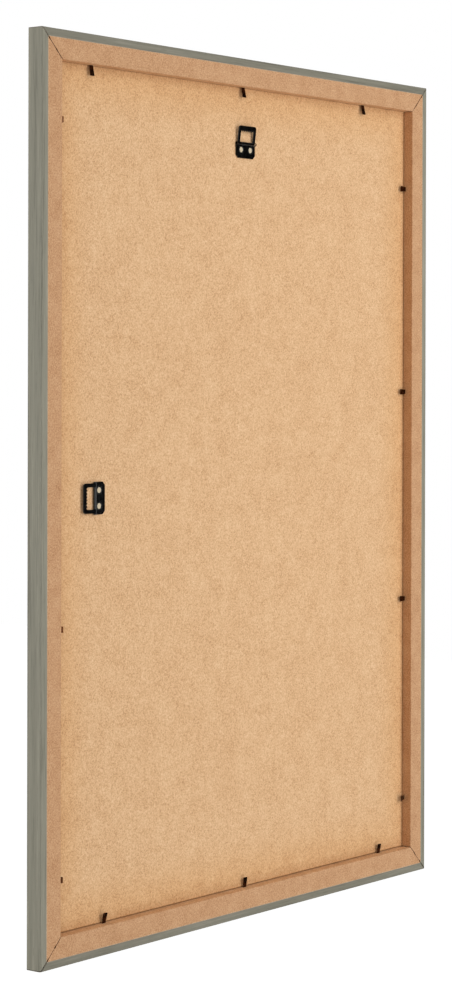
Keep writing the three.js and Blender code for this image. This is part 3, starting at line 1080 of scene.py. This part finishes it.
class Finishes:
    """Every material of the frame, made once."""

    def __init__(self) -> None:
        """Makes the materials."""
        self.rail_board = RailBoardFinish(
            name="rail_board",
            base=linear(198, 152, 112),
            pale=linear(223, 185, 146),
            dark=linear(153, 104, 66),
            clouds=0.25,
            speckle=0.62,
            flecks=0.8,
        ).material()
        panel = frame["nodes"]["back_panel"].dimensions
        self.panel_board = PanelBoardFinish(
            name="panel_board",
            base=linear(221, 179, 135),
            pale=linear(240, 207, 166),
            dark=linear(178, 129, 85),
            clouds=0.18,
            speckle=0.66,
            flecks=1.0,
            half_width=panel.x / 2,
            half_height=panel.z / 2,
        ).material()
        # One print in two copies: the upright copy is lighter by painted sheen, the level copy darker by
        # painted shade, from how light falls along and across the grain
        foil_upright_painted_sheen = FoilFinish(
            name="decor_foil_along_z_painted_sheen",
            grain=Grain.ALONG_Z,
            base=linear(140, 137, 122),
            pale=linear(156, 152, 136),
            dark=linear(115, 112, 98),
        )
        foil_level_painted_shade = FoilFinish(
            name="decor_foil_along_x_painted_shade",
            grain=Grain.ALONG_X,
            base=linear(127, 124, 110),
            pale=linear(142, 138, 124),
            dark=linear(104, 101, 88),
        )
        self.foil = {finish.grain: finish.material() for finish in (foil_upright_painted_sheen, foil_level_painted_shade)}
        self.foil_edge = BoardFinish(
            name="foil_cut_edge",
            base=linear(176, 162, 142),
            pale=linear(200, 188, 170),
            dark=linear(140, 124, 104),
            clouds=0.3,
            speckle=0.4,
            flecks=0.3,
        ).material()
        self.hanger_steel = SteelFinish(
            name="hanger_steel",
            base=linear(3, 3, 3),
            scuffed=linear(9, 8, 8),
            smooth=0.16,
            rough=0.26,
            metallic=0.0,
            specular=0.4,
        ).material()
        # The floor that closes the bore is painted as the insert paper behind it, in painted shade
        self.rivet_floor = SteelFinish(
            name="rivet_floor",
            base=linear(204, 188, 158),
            scuffed=linear(222, 208, 182),
            smooth=0.4,
            rough=0.55,
            metallic=0.0,
            specular=0.4,
        ).material()
        # Dark steel, partly painted: its warm brown is a painted reflection of the board
        self.tab_steel = SteelFinish(
            name="tab_steel",
            base=linear(70, 41, 23),
            scuffed=linear(106, 74, 50),
            smooth=0.16,
            rough=0.3,
            metallic=1.0,
            specular=0.5,
        ).material()
        self.nail_steel = SteelFinish(
            name="nail_steel",
            base=linear(34, 29, 25),
            scuffed=linear(84, 78, 72),
            smooth=0.25,
            rough=0.42,
            metallic=1.0,
            specular=0.5,
        ).material()
        self.paper = BoardFinish(
            name="insert_paper",
            base=linear(238, 234, 224),
            pale=linear(248, 246, 240),
            dark=linear(216, 208, 192),
            clouds=0.12,
            speckle=0.16,
            flecks=0.15,
        ).material()
        self.pane = PaneFinish().material()


# Sub-assemblies


@dataclass
class FoilWrap:
    """The foil round one rail, which lies along X on the workbench, outer side up and back at y = 0."""

    side: Side
    outer_length: float
    reach_out: float
    depth: float
    face: float
    lip: float = 2.3
    back_return: float = 7.0
    thickness: float = 0.3
    edge_radius: float = 1.0
    edge_facets: int = 6
    mitre_gap: float = 0.3
    cut_edge: float = 0.3
    smooth_angle: float = 30.0

    @property
    def cut_line(self) -> float:
        """Where the pale edge of the cut begins on the back."""
        return self.cut_edge - self.back_return

    def build(self) -> Piece:
        """Folds the sheet round the rail and mitres it.

        Returns:
            The sheet, still on the workbench.
        """
        centre = (0, 0, -self.back_return / 2)
        piece = sheet_blank(f"foil_wrap_{self.side.label}", self.outer_length, self.back_return, centre)
        folds = [(0, 0), (-self.depth, 0), (-self.depth, -self.face)]
        with editing(piece):
            choose_level_edge(0)
            extrude_edges((0, -self.depth, 0))
            extrude_edges((0, 0, -self.face))
            extrude_edges((0, self.lip, 0))
            choose(
                Take.EDGES,
                lambda at: near(at.x, 0) and any(near(at.y, y) and near(at.z, z) for y, z in folds),
            )
            bpy.ops.mesh.bevel(offset=self.edge_radius, segments=self.edge_facets, affect="EDGES")
            set_back = self.outer_length / 2 - self.mitre_gap / math.sqrt(2)
            for end in (-1, 1):
                slice_off((end * set_back, 0, 0), (end, 0, -1))
            choose(Take.FACES, lambda at: near(at.y, 0))
            bpy.ops.mesh.bisect(plane_co=(0, 0, self.cut_line), plane_no=(0, 0, 1))
        return piece

    def finish(self, finishes: Finishes) -> None:
        """Dresses the wrap, gives it its thickness and sets it round its rail.

        Args:
            finishes: The frame's materials.
        """
        piece = self.build()
        # The copy for the rail's grain carries its painted sheen or painted shade
        dress(piece, finishes.foil[self.side.grain], finishes.foil_edge)
        for face in piece.data.polygons:
            if near(face.center.y, 0) and face.center.z < self.cut_line:
                face.material_index = 1
        thicken(piece, self.thickness, offset=-1.0, rim_slot=1)
        shade(piece, self.smooth_angle)
        turn = Matrix.Rotation(self.side.value * math.pi / 2, 4, "Y")
        outwards = Matrix.Translation((0, 0, self.reach_out * MM))
        settle(piece, Matrix.Translation(BACK_MIDDLE) @ turn @ outwards)
        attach(piece, ROOT_BODY)
        hand_over(piece, "decor_foil", f"foil_{self.side.label}")


@dataclass
class Rails:
    """The four rails with their foil and corner nails."""

    finishes: Finishes

    def wrap(self, side: Side) -> FoilWrap:
        """The foil of one rail, at the sizes that the frame gives it.

        Args:
            side: The rail's side.

        Returns:
            The wrap, not yet built.
        """
        low, high = CAD_BOX
        width, height = (high.x - low.x) / MM, (high.z - low.z) / MM
        foil_low, foil_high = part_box(f"foil_{side.label}")
        across = (foil_high - foil_low) / MM
        return FoilWrap(
            side,
            outer_length=height if side.upright else width,
            reach_out=(width if side.upright else height) / 2,
            depth=across.y,
            face=across.x if side.upright else across.z,
        )

    def build(self) -> None:
        """Wraps every rail and dresses the board and the nails."""
        for side in Side:
            self.wrap(side).finish(self.finishes)
            dress_node(f"rail_{side.label}", self.finishes.rail_board)
        for node in frame["nodes"]:
            if node.startswith("corner_nail"):
                dress_node(node, self.finishes.nail_steel)


@dataclass
class Pack:
    """What lies in the rebate: pane, insert and back panel."""

    finishes: Finishes
    paper: float = 0.2
    slack: float = 0.05

    def build(self) -> None:
        """Dresses the panel and the pane, and lays a plain sheet of paper between them."""
        dress_node("back_panel", self.finishes.panel_board)
        dress_node("front_pane", self.finishes.pane)
        low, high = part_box("insert_sheet")
        size = (high - low) / MM
        piece = sheet_blank("insert_paper", size.x, size.z, (0, 0, 0))
        thicken(piece, self.paper)
        dress(piece, self.finishes.paper)
        middle = (low + high) / 2
        middle.y = low.y + (self.slack + self.paper / 2) * MM
        settle(piece, Matrix.Translation(middle))
        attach(piece, ROOT_BODY)
        hand_over(piece, "insert_paper", "insert_sheet")


class Ring(NamedTuple):
    """One ring in the outline of a round piece."""

    radius: float
    height: float


def turn_onto(along: Vector) -> Matrix:
    """The turn that lays the workbench's X axis along a joint's line, with its Y axis out of the back."""
    return Matrix((along, OUT, along.cross(OUT))).transposed().to_4x4()


@dataclass
class Hanger:
    """A hinged sawtooth hanger. On the workbench its hinge lies along X, over a panel at y = 0."""

    label: str
    hinge_point: Vector
    along: Vector
    lean: float
    steel: float = 0.5
    width: float = 26.8
    drop: float = 12.8
    chamfer: float = 2.8
    layer_gap: float = 0.1
    bore: float = 0.95
    neck: float = 0.7
    roll_steps: int = 22
    neck_steps: int = 7
    strap_easing: float = 0.1
    bail_steel: float = 0.9
    bail_width: float = 24.7
    bail_rise: float = 15.5
    arm: float = 3.2
    shoulder: float = 2.5
    shoulder_facets: int = 8
    hinge_bar: float = 1.1
    toothed_bar: float = 5.3
    notches: int = 7
    notch_depth: float = 1.6
    bail_easing: float = 0.18
    bail_facets: int = 3
    rivet_bore: float = 2.5
    rivet_wall: float = 0.3
    rivet_rim: float = 0.7
    rivet_crown: float = 0.5
    rivet_mouth: float = 0.35
    rivet_spacing: float = 13.0
    rivet_drop: float = 5.5
    rivet_depth: float = 0.5
    rivet_facets: int = 40
    floor_inset: float = 0.15
    floor_rise: float = 0.1
    panel: float = 2.0
    seat: float = 0.8
    play: float = 0.3

    @property
    def hinge_height(self) -> float:
        """The hinge line above the panel."""
        return self.steel + self.bore

    @property
    def strap_top(self) -> float:
        """The upper face of the folded strap above the panel."""
        return 2 * self.steel + self.layer_gap

    @property
    def floor_height(self) -> float:
        """The closed floor of a rivet above the panel."""
        return self.strap_top + self.rivet_crown - self.rivet_depth

    @property
    def rivet_places(self) -> tuple[float, float]:
        """Where the rivets sit along the hinge line."""
        return (-self.rivet_spacing / 2, self.rivet_spacing / 2)

    @property
    def place(self) -> Matrix:
        """Where the workbench's origin lies in the frame: on the panel, under the hinge line."""
        foot = self.hinge_point - OUT * self.hinge_height * MM
        return Matrix.Translation(foot) @ turn_onto(self.along)

    @property
    def leaning(self) -> Matrix:
        """The turn about the hinge line that lets the bail lean out from the panel."""
        hinge = Matrix.Translation((0, self.hinge_height * MM, 0))
        return hinge @ Matrix.Rotation(-math.radians(self.lean), 4, "X") @ hinge.inverted()

    def strap(self) -> Piece:
        """Rolls a strip of steel round the hinge and folds it back on itself.

        Returns:
            The strap on the workbench.
        """
        middle = self.bore + self.steel / 2
        neck_height = self.strap_top + self.neck - self.steel / 2 - self.hinge_height
        turn = math.pi - math.asin(neck_height / (middle + self.neck))
        neck_z = (middle + self.neck) * math.cos(turn)
        centre = (0, self.steel / 2, -self.drop / 2)
        piece = sheet_blank(f"hanger_strap_{self.label}_pressed", self.width, self.drop, centre)
        with editing(piece):
            choose_level_edge(0)
            bpy.ops.mesh.spin(
                steps=self.roll_steps,
                angle=turn + math.pi / 2,
                center=(0, self.hinge_height, 0),
                axis=(1, 0, 0),
            )
            bpy.ops.mesh.spin(
                steps=self.neck_steps,
                angle=turn - math.pi / 2,
                center=(0, self.hinge_height + neck_height, neck_z),
                axis=(-1, 0, 0),
            )
            extrude_edges((0, 0, -self.drop - neck_z))
            for end in (-1, 1):
                slice_off((end * self.width / 2, 0, self.chamfer - self.drop), (end, 0, -1))
            self.cut_slots()
            bpy.ops.mesh.select_all(action="SELECT")
            bpy.ops.mesh.remove_doubles(threshold=WELD)
        thicken(piece, self.steel)
        self.punch(piece)
        ease_edges(piece, self.strap_easing)
        return piece

    def cut_slots(self) -> None:
        """Cuts the slots for the bail's arms into the roll of the strap that is open in edit mode."""
        inner = self.bail_width / 2 - self.arm - self.play
        outer = self.bail_width / 2 + self.play
        behind = -self.bail_steel / 2 - self.play
        sill = self.hinge_height + behind
        for place in (-outer, -inner, inner, outer):
            slice_off((place, 0, 0), (1, 0, 0), clear=False)
        slice_off((0, sill, 0), (0, 1, 0), clear=False)
        slice_off((0, 0, behind), (0, 0, 1), clear=False)
        choose(Take.FACES, lambda at: inner < abs(at.x) < outer and at.y > sill and at.z > behind)
        bpy.ops.mesh.delete(type="FACE")

    def punch(self, piece: Piece) -> None:
        """Punches the rivet holes through both layers of the strap.

        Args:
            piece: The strap.
        """
        for place in self.rivet_places:
            clear_bench()
            bpy.ops.mesh.primitive_cylinder_add(
                vertices=self.rivet_facets,
                radius=self.rivet_bore + self.rivet_wall,
                depth=4 * self.strap_top,
                location=(place, 0, -self.rivet_drop),
                rotation=(math.pi / 2, 0, 0),
            )
            punch = just_made("rivet_punch")
            use_modifier(piece, "BOOLEAN", object=punch, operation="DIFFERENCE", solver="EXACT")
            bpy.data.objects.remove(punch)

    def bail(self) -> Piece:
        """Stamps the bail: a flat ring with round shoulders and a row of notches.

        Returns:
            The bail on the workbench.
        """
        inner = self.bail_width / 2 - self.arm
        low, tips = -self.hinge_bar / 2, self.bail_rise - self.toothed_bar
        height = self.bail_rise - low
        centre = (0, self.hinge_height, low + height / 2)
        piece = sheet_blank(f"hanger_bail_{self.label}_stamped", self.bail_width, height, centre)
        with editing(piece):
            choose(Take.VERTS, lambda at: near(at.z, self.bail_rise))
            bpy.ops.mesh.bevel(offset=self.shoulder, segments=self.shoulder_facets, affect="VERTICES")
            for place in (-inner, inner):
                slice_off((place, 0, 0), (1, 0, 0), clear=False)
            for place in (-low, tips):
                slice_off((0, 0, place), (0, 0, 1), clear=False)
            choose(Take.FACES, lambda at: abs(at.x) < inner and -low < at.z < tips)
            bpy.ops.mesh.delete(type="FACE")
            choose_level_edge(tips)
            bpy.ops.mesh.subdivide(number_cuts=2 * self.notches - 1, ngon=True)
            pitch = 2 * inner / self.notches
            roots = [(i + 0.5) * pitch - inner for i in range(self.notches)]
            choose(Take.VERTS, lambda at: near(at.z, tips) and any(near(at.x, root) for root in roots))
            bpy.ops.transform.translate(value=(0, 0, self.notch_depth))
        thicken(piece, self.bail_steel)
        ease_edges(piece, self.bail_easing, self.bail_facets)
        return piece

    def rivet_rings(self) -> list[Ring]:
        """The outline of a rivet: closed floor, mouth, rolled rim on the strap, shank and head in the panel.

        Returns:
            The rings, from the floor to the head.
        """
        barrel = self.rivet_bore + self.rivet_wall
        rim = barrel + self.rivet_rim
        curl = self.rivet_crown / 2
        crest = self.strap_top + self.rivet_crown
        bore, mouth = self.rivet_bore, self.rivet_mouth
        seat = self.seat - self.panel
        bends = [math.radians(angle) for angle in (22.5, 45, 67.5, 90)]
        return [
            Ring(bore - self.floor_inset, self.floor_height),
            Ring(bore, self.floor_height + self.floor_rise),
            *(Ring(bore + mouth * (1 - math.cos(a)), crest - mouth * (1 - math.sin(a))) for a in bends),
            Ring(rim - curl, crest),
            *(Ring(rim - curl * (1 - math.sin(a)), crest - curl * (1 - math.cos(a))) for a in bends),
            *(Ring(rim - curl * (1 - math.cos(a)), crest - curl * (1 + math.sin(a))) for a in bends[:2]),
            Ring(rim - curl, self.strap_top),
            Ring(barrel, self.strap_top),
            Ring(barrel, seat),
            Ring(rim, seat),
            Ring(rim, seat - curl),
            Ring(rim - self.rivet_crown, seat - self.rivet_crown),
        ]

    def rivet(self) -> Piece:
        """Draws a hollow rivet out of a ring and closes it at both ends.

        Returns:
            The rivet on the workbench, with its axis through the origin.
        """
        rings = self.rivet_rings()
        floor, head = rings[0], rings[-1]
        clear_bench()
        bpy.ops.mesh.primitive_circle_add(
            vertices=self.rivet_facets,
            radius=floor.radius,
            location=(0, floor.height, 0),
            rotation=(math.pi / 2, 0, 0),
        )
        piece = just_made(f"hanger_rivet_{self.label}_rolled")
        apply_place()
        with editing(piece):
            for last, ring in zip(rings, rings[1:]):
                extrude_edges((0, ring.height - last.height, 0))
                grow = ring.radius / last.radius
                bpy.ops.transform.resize(value=(grow, 1, grow), center_override=(0, ring.height, 0))
            for end in (floor, head):
                choose(Take.EDGES, lambda at: near(at.y, end.height))
                bpy.ops.mesh.edge_face_add()
            bpy.ops.mesh.select_all(action="SELECT")
            bpy.ops.mesh.normals_make_consistent(inside=False)
        shade(piece, SHARP)
        return piece

    def fit(self, piece: Piece, shift: Matrix, body: str, node: str) -> None:
        """Sets a finished piece of the hanger in its place.

        Args:
            piece: The piece on the workbench.
            shift: Its move from there, in metres.
            body: The body that it rides on.
            node: The CAD node that it stands for.
        """
        settle(piece, self.place @ shift)
        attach(piece, body)
        hand_over(piece, "hanger_steel", node)

    def build(self, finishes: Finishes) -> None:
        """Makes the hanger's pieces, dresses them and sets them on the panel.

        Args:
            finishes: The frame's materials.
        """
        strap, bail, rivet = self.strap(), self.bail(), self.rivet()
        dress(strap, finishes.hanger_steel)
        dress(bail, finishes.hanger_steel)
        dress(rivet, finishes.hanger_steel, finishes.rivet_floor)
        # Floor faces get the paper colour with its painted shade
        for face in rivet.data.polygons:
            face.material_index = int(near(face.center.y, self.floor_height))
        self.fit(strap, Matrix(), ROOT_BODY, f"hanger_strap_{self.label}")
        self.fit(bail, self.leaning, f"bail_{self.label}", f"hanger_bail_{self.label}")
        for number, place in enumerate(self.rivet_places, start=1):
            one = copied(rivet, f"{rivet.name}_{number}")
            shift = Matrix.Translation((place * MM, 0, -self.rivet_drop * MM))
            self.fit(one, shift, ROOT_BODY, f"hanger_rivet_{self.label}_{number}")
        bpy.data.objects.remove(rivet)


@dataclass
class Tab:
    """A flexible tab. On the workbench its bend line lies along X at the origin, and the leaf points down."""

    label: str
    bend_point: Vector
    along: Vector
    lift: float
    steel: float = 0.5
    root_width: float = 4.0
    tip_width: float = 5.4
    tip_radius: float = 0.8
    tip_facets: int = 6
    leaf: float = 8.2
    root: float = 5.0
    bend_start: float = 0.45
    bend_end: float = 0.75
    bend_facets: int = 8
    easing: float = 0.09

    def strip(self) -> Piece:
        """Cuts the strip, scores its bend and lifts its leaf.

        Returns:
            The tab on the workbench.
        """
        centre = (0, 0, self.root / 2)
        piece = sheet_blank(f"flexible_tab_{self.label}", self.root_width, self.root, centre)
        with editing(piece):
            choose_level_edge(0)
            extrude_edges((0, 0, -self.leaf))
            spread = self.tip_width / self.root_width
            bpy.ops.transform.resize(value=(spread, 1, 1), center_override=(0, 0, -self.leaf))
            choose(Take.VERTS, lambda at: near(at.z, -self.leaf))
            bpy.ops.mesh.bevel(offset=self.tip_radius, segments=self.tip_facets, affect="VERTICES")
            for cut in range(self.bend_facets + 1):
                height = self.bend_start - (self.bend_start + self.bend_end) * cut / self.bend_facets
                slice_off((0, 0, height), (0, 0, 1), clear=False)
            choose(Take.VERTS, lambda at: at.z < -WELD)
            lifted = -math.radians(self.lift)
            bpy.ops.transform.rotate(value=lifted, orient_axis="X", center_override=(0, 0, 0))
        thicken(piece, self.steel)
        ease_edges(piece, self.easing)
        return piece

    def build(self, finishes: Finishes) -> None:
        """Makes the tab, dresses it and sets it at its bend line in the frame.

        Args:
            finishes: The frame's materials.
        """
        piece = self.strip()
        dress(piece, finishes.tab_steel)
        settle(piece, Matrix.Translation(self.bend_point) @ turn_onto(self.along))
        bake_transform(piece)
        hand_over(piece, "tab_steel", f"tab_root_{self.label}", f"tab_leaf_{self.label}")


def joints_of(prefix: str) -> Iterator[tuple[str, Joint]]:
    """Goes through the joints of one kind.

    Args:
        prefix: How the names of their moving bodies begin.

    Yields:
        The rest of the body's name, and the joint.
    """
    for joint in frame["joints"]:
        if joint["child"].startswith(prefix):
            yield joint["child"].removeprefix(prefix), joint


def hangers() -> list[Hanger]:
    """Sets both hangers by their hinge lines in the frame.

    Returns:
        The hangers, not yet built.
    """
    return [
        Hanger(
            label,
            hinge_point=Vector(joint["pos_m"]),
            along=-Vector(joint["axis"]),
            lean=-joint["range_deg"][0],
        )
        for label, joint in joints_of("bail_")
    ]


def tabs() -> list[Tab]:
    """Sets every tab by its bend line in the frame.

    Returns:
        The tabs, not yet built.
    """
    return [
        Tab(
            label,
            bend_point=Vector(joint["pos_m"]),
            along=Vector(joint["axis"]),
            lift=90 - joint["range_deg"][1],
        )
        for label, joint in joints_of("tab_")
    ]


# Studio


@dataclass(frozen=True)
class SoftBox:
    """A soft lamp: where it hangs as seen from the frame, and how bright it makes a face turned to it."""

    name: str
    towards: Triple
    distance: float
    size: float
    level: float


@dataclass
class Studio:
    """Camera, lamps, pale floor, white surroundings and a dark card."""

    eye: Triple = (1.7899, 1.3629, -0.2153)
    heading: float = 127.891
    pitch: float = -0.303
    roll: float = 0.135
    focal_pixels: float = 2566.8
    frame_height: float = 1000.0
    axis_row: float = 389.58
    sensor: float = 36.0
    ambient: float = 0.22
    floor_drop: float = 2.4
    floor_size: float = 40.0
    floor_paint: float = 0.9
    floor_glow: float = 0.84
    card_place: Triple = (-1.14, 1.0, -0.13)
    card_size: float = 1.5
    card_rise: float = 2.2
    card_paint: float = 0.01
    lamps: tuple[SoftBox, ...] = (
        SoftBox("upper_key", (-0.3, 0.68, 0.67), distance=2.2, size=1.2, level=0.24),
        SoftBox("lower_key", (-0.3, 0.7, -0.65), distance=2.3, size=1.2, level=0.21),
        SoftBox("back_key", (-0.25, 0.95, 0.12), distance=1.5, size=1.0, level=0.4),
        SoftBox("front_fill", (0.78, -0.62, 0.1), distance=2.8, size=1.6, level=0.42),
        SoftBox("front_key", (-0.6, -0.75, 0.3), distance=2.6, size=1.4, level=0.6),
        SoftBox("camera_fill", (0.8, 0.58, 0.2), distance=6.0, size=2.6, level=0.26),
    )

    def camera(self) -> None:
        """Sets the camera where the photograph was taken."""
        data = bpy.data.cameras.new("camera")
        data.sensor_fit = "AUTO"
        data.sensor_width = self.sensor
        data.lens = self.focal_pixels / self.frame_height * self.sensor
        data.shift_y = (self.axis_row - self.frame_height / 2) / self.frame_height
        camera = bpy.data.objects.new("camera", data)
        upright = Euler((math.radians(90 + self.pitch), 0, math.radians(self.heading))).to_matrix().to_4x4()
        rolled = Matrix.Rotation(math.radians(self.roll), 4, "Z")
        camera.matrix_world = Matrix.Translation(self.eye) @ upright @ rolled
        bpy.context.scene.collection.objects.link(camera)
        bpy.context.scene.camera = camera

    def lamp(self, lamp: SoftBox) -> None:
        """Hangs a square soft box that faces the frame.

        Args:
            lamp: The soft box.
        """
        data = bpy.data.lights.new(lamp.name, "AREA")
        data.size = lamp.size
        data.energy = lamp.level * (math.pi * lamp.distance) ** 2
        box = bpy.data.objects.new(lamp.name, data)
        towards = Vector(lamp.towards).normalized()
        turn = (-towards).to_track_quat("-Z", "Y").to_matrix().to_4x4()
        box.matrix_world = Matrix.Translation(MIDDLE + towards * lamp.distance) @ turn
        box.visible_camera = False
        bpy.context.scene.collection.objects.link(box)

    def seen(self, bench: NodeBench) -> Socket:
        """Tells rays that come from the camera, straight or by way of metal or glass.

        Args:
            bench: The nodes of a material or of the surroundings.

        Returns:
            1 for such a ray, 0 for others.
        """
        path = bench.add("ShaderNodeLightPath", {}).outputs
        mirrored = bench.larger(path["Is Glossy Ray"], path["Is Transmission Ray"])
        return bench.larger(path["Is Camera Ray"], mirrored)

    def surroundings(self) -> None:
        """Makes the surroundings white to look at and a plain even light to be lit by."""
        world = bpy.data.worlds.new("surroundings")
        world.use_nodes = True
        bench = NodeBench(world.node_tree)
        seen = self.seen(bench)
        even = bench.add("ShaderNodeBackground", {"Color": grey(1.0), "Strength": self.ambient})
        white = bench.add("ShaderNodeBackground", {"Color": grey(1.0), "Strength": 1.0})
        either = bench.add("ShaderNodeMixShader", {0: seen, 1: even.outputs[0], 2: white.outputs[0]})
        bench.add("ShaderNodeOutputWorld", {"Surface": either.outputs[0]})
        bpy.context.scene.world = world

    def floor(self) -> None:
        """Lays a pale floor some way below the hanging frame."""
        clear_bench()
        below = (0, 0, CAD_BOX[0].z - self.floor_drop)
        bpy.ops.mesh.primitive_plane_add(size=self.floor_size, location=below)
        floor = just_made("floor")
        material, bench = fresh_material("pale_floor")
        paint = bench.add("ShaderNodeBsdfDiffuse", {"Color": grey(self.floor_paint)})
        glow = bench.add("ShaderNodeEmission", {"Strength": bench.times(self.seen(bench), self.floor_glow)})
        both = bench.add("ShaderNodeAddShader", {0: paint.outputs[0], 1: glow.outputs[0]})
        bench.add("ShaderNodeOutputMaterial", {"Surface": both.outputs[0]})
        dress(floor, material)

    def card(self) -> None:
        """Stands a dark card where the hangers' flats mirror it, which takes no light from anything."""
        clear_bench()
        facing = (MIDDLE - Vector(self.card_place)).normalized().to_track_quat("Z", "Y").to_euler()
        bpy.ops.mesh.primitive_plane_add(size=self.card_size, location=self.card_place, rotation=facing)
        card = just_made("dark_card")
        card.scale.y = self.card_rise
        material, bench = fresh_material("card_black")
        paint = bench.add("ShaderNodeBsdfDiffuse", {"Color": grey(self.card_paint)})
        bench.add("ShaderNodeOutputMaterial", {"Surface": paint.outputs[0]})
        dress(card, material)
        card.visible_camera = card.visible_diffuse = False
        card.visible_transmission = card.visible_shadow = False

    def build(self) -> None:
        """Sets up everything round the frame."""
        self.camera()
        self.surroundings()
        for lamp in self.lamps:
            self.lamp(lamp)
        self.floor()
        self.card()
        bpy.context.scene.view_settings.view_transform = "Standard"
        LOG.info("studio: %d soft boxes, floor and card", len(self.lamps))


def main() -> None:
    """Builds the frame's pieces in order and the studio round them."""
    logging.basicConfig(level=logging.INFO, format="%(name)s: %(message)s")
    finishes = Finishes()
    Rails(finishes).build()
    Pack(finishes).build()
    for hanger in hangers():
        hanger.build(finishes)
    for tab in tabs():
        tab.build(finishes)
    Studio().build()


if __name__ == "__main__":
    main()
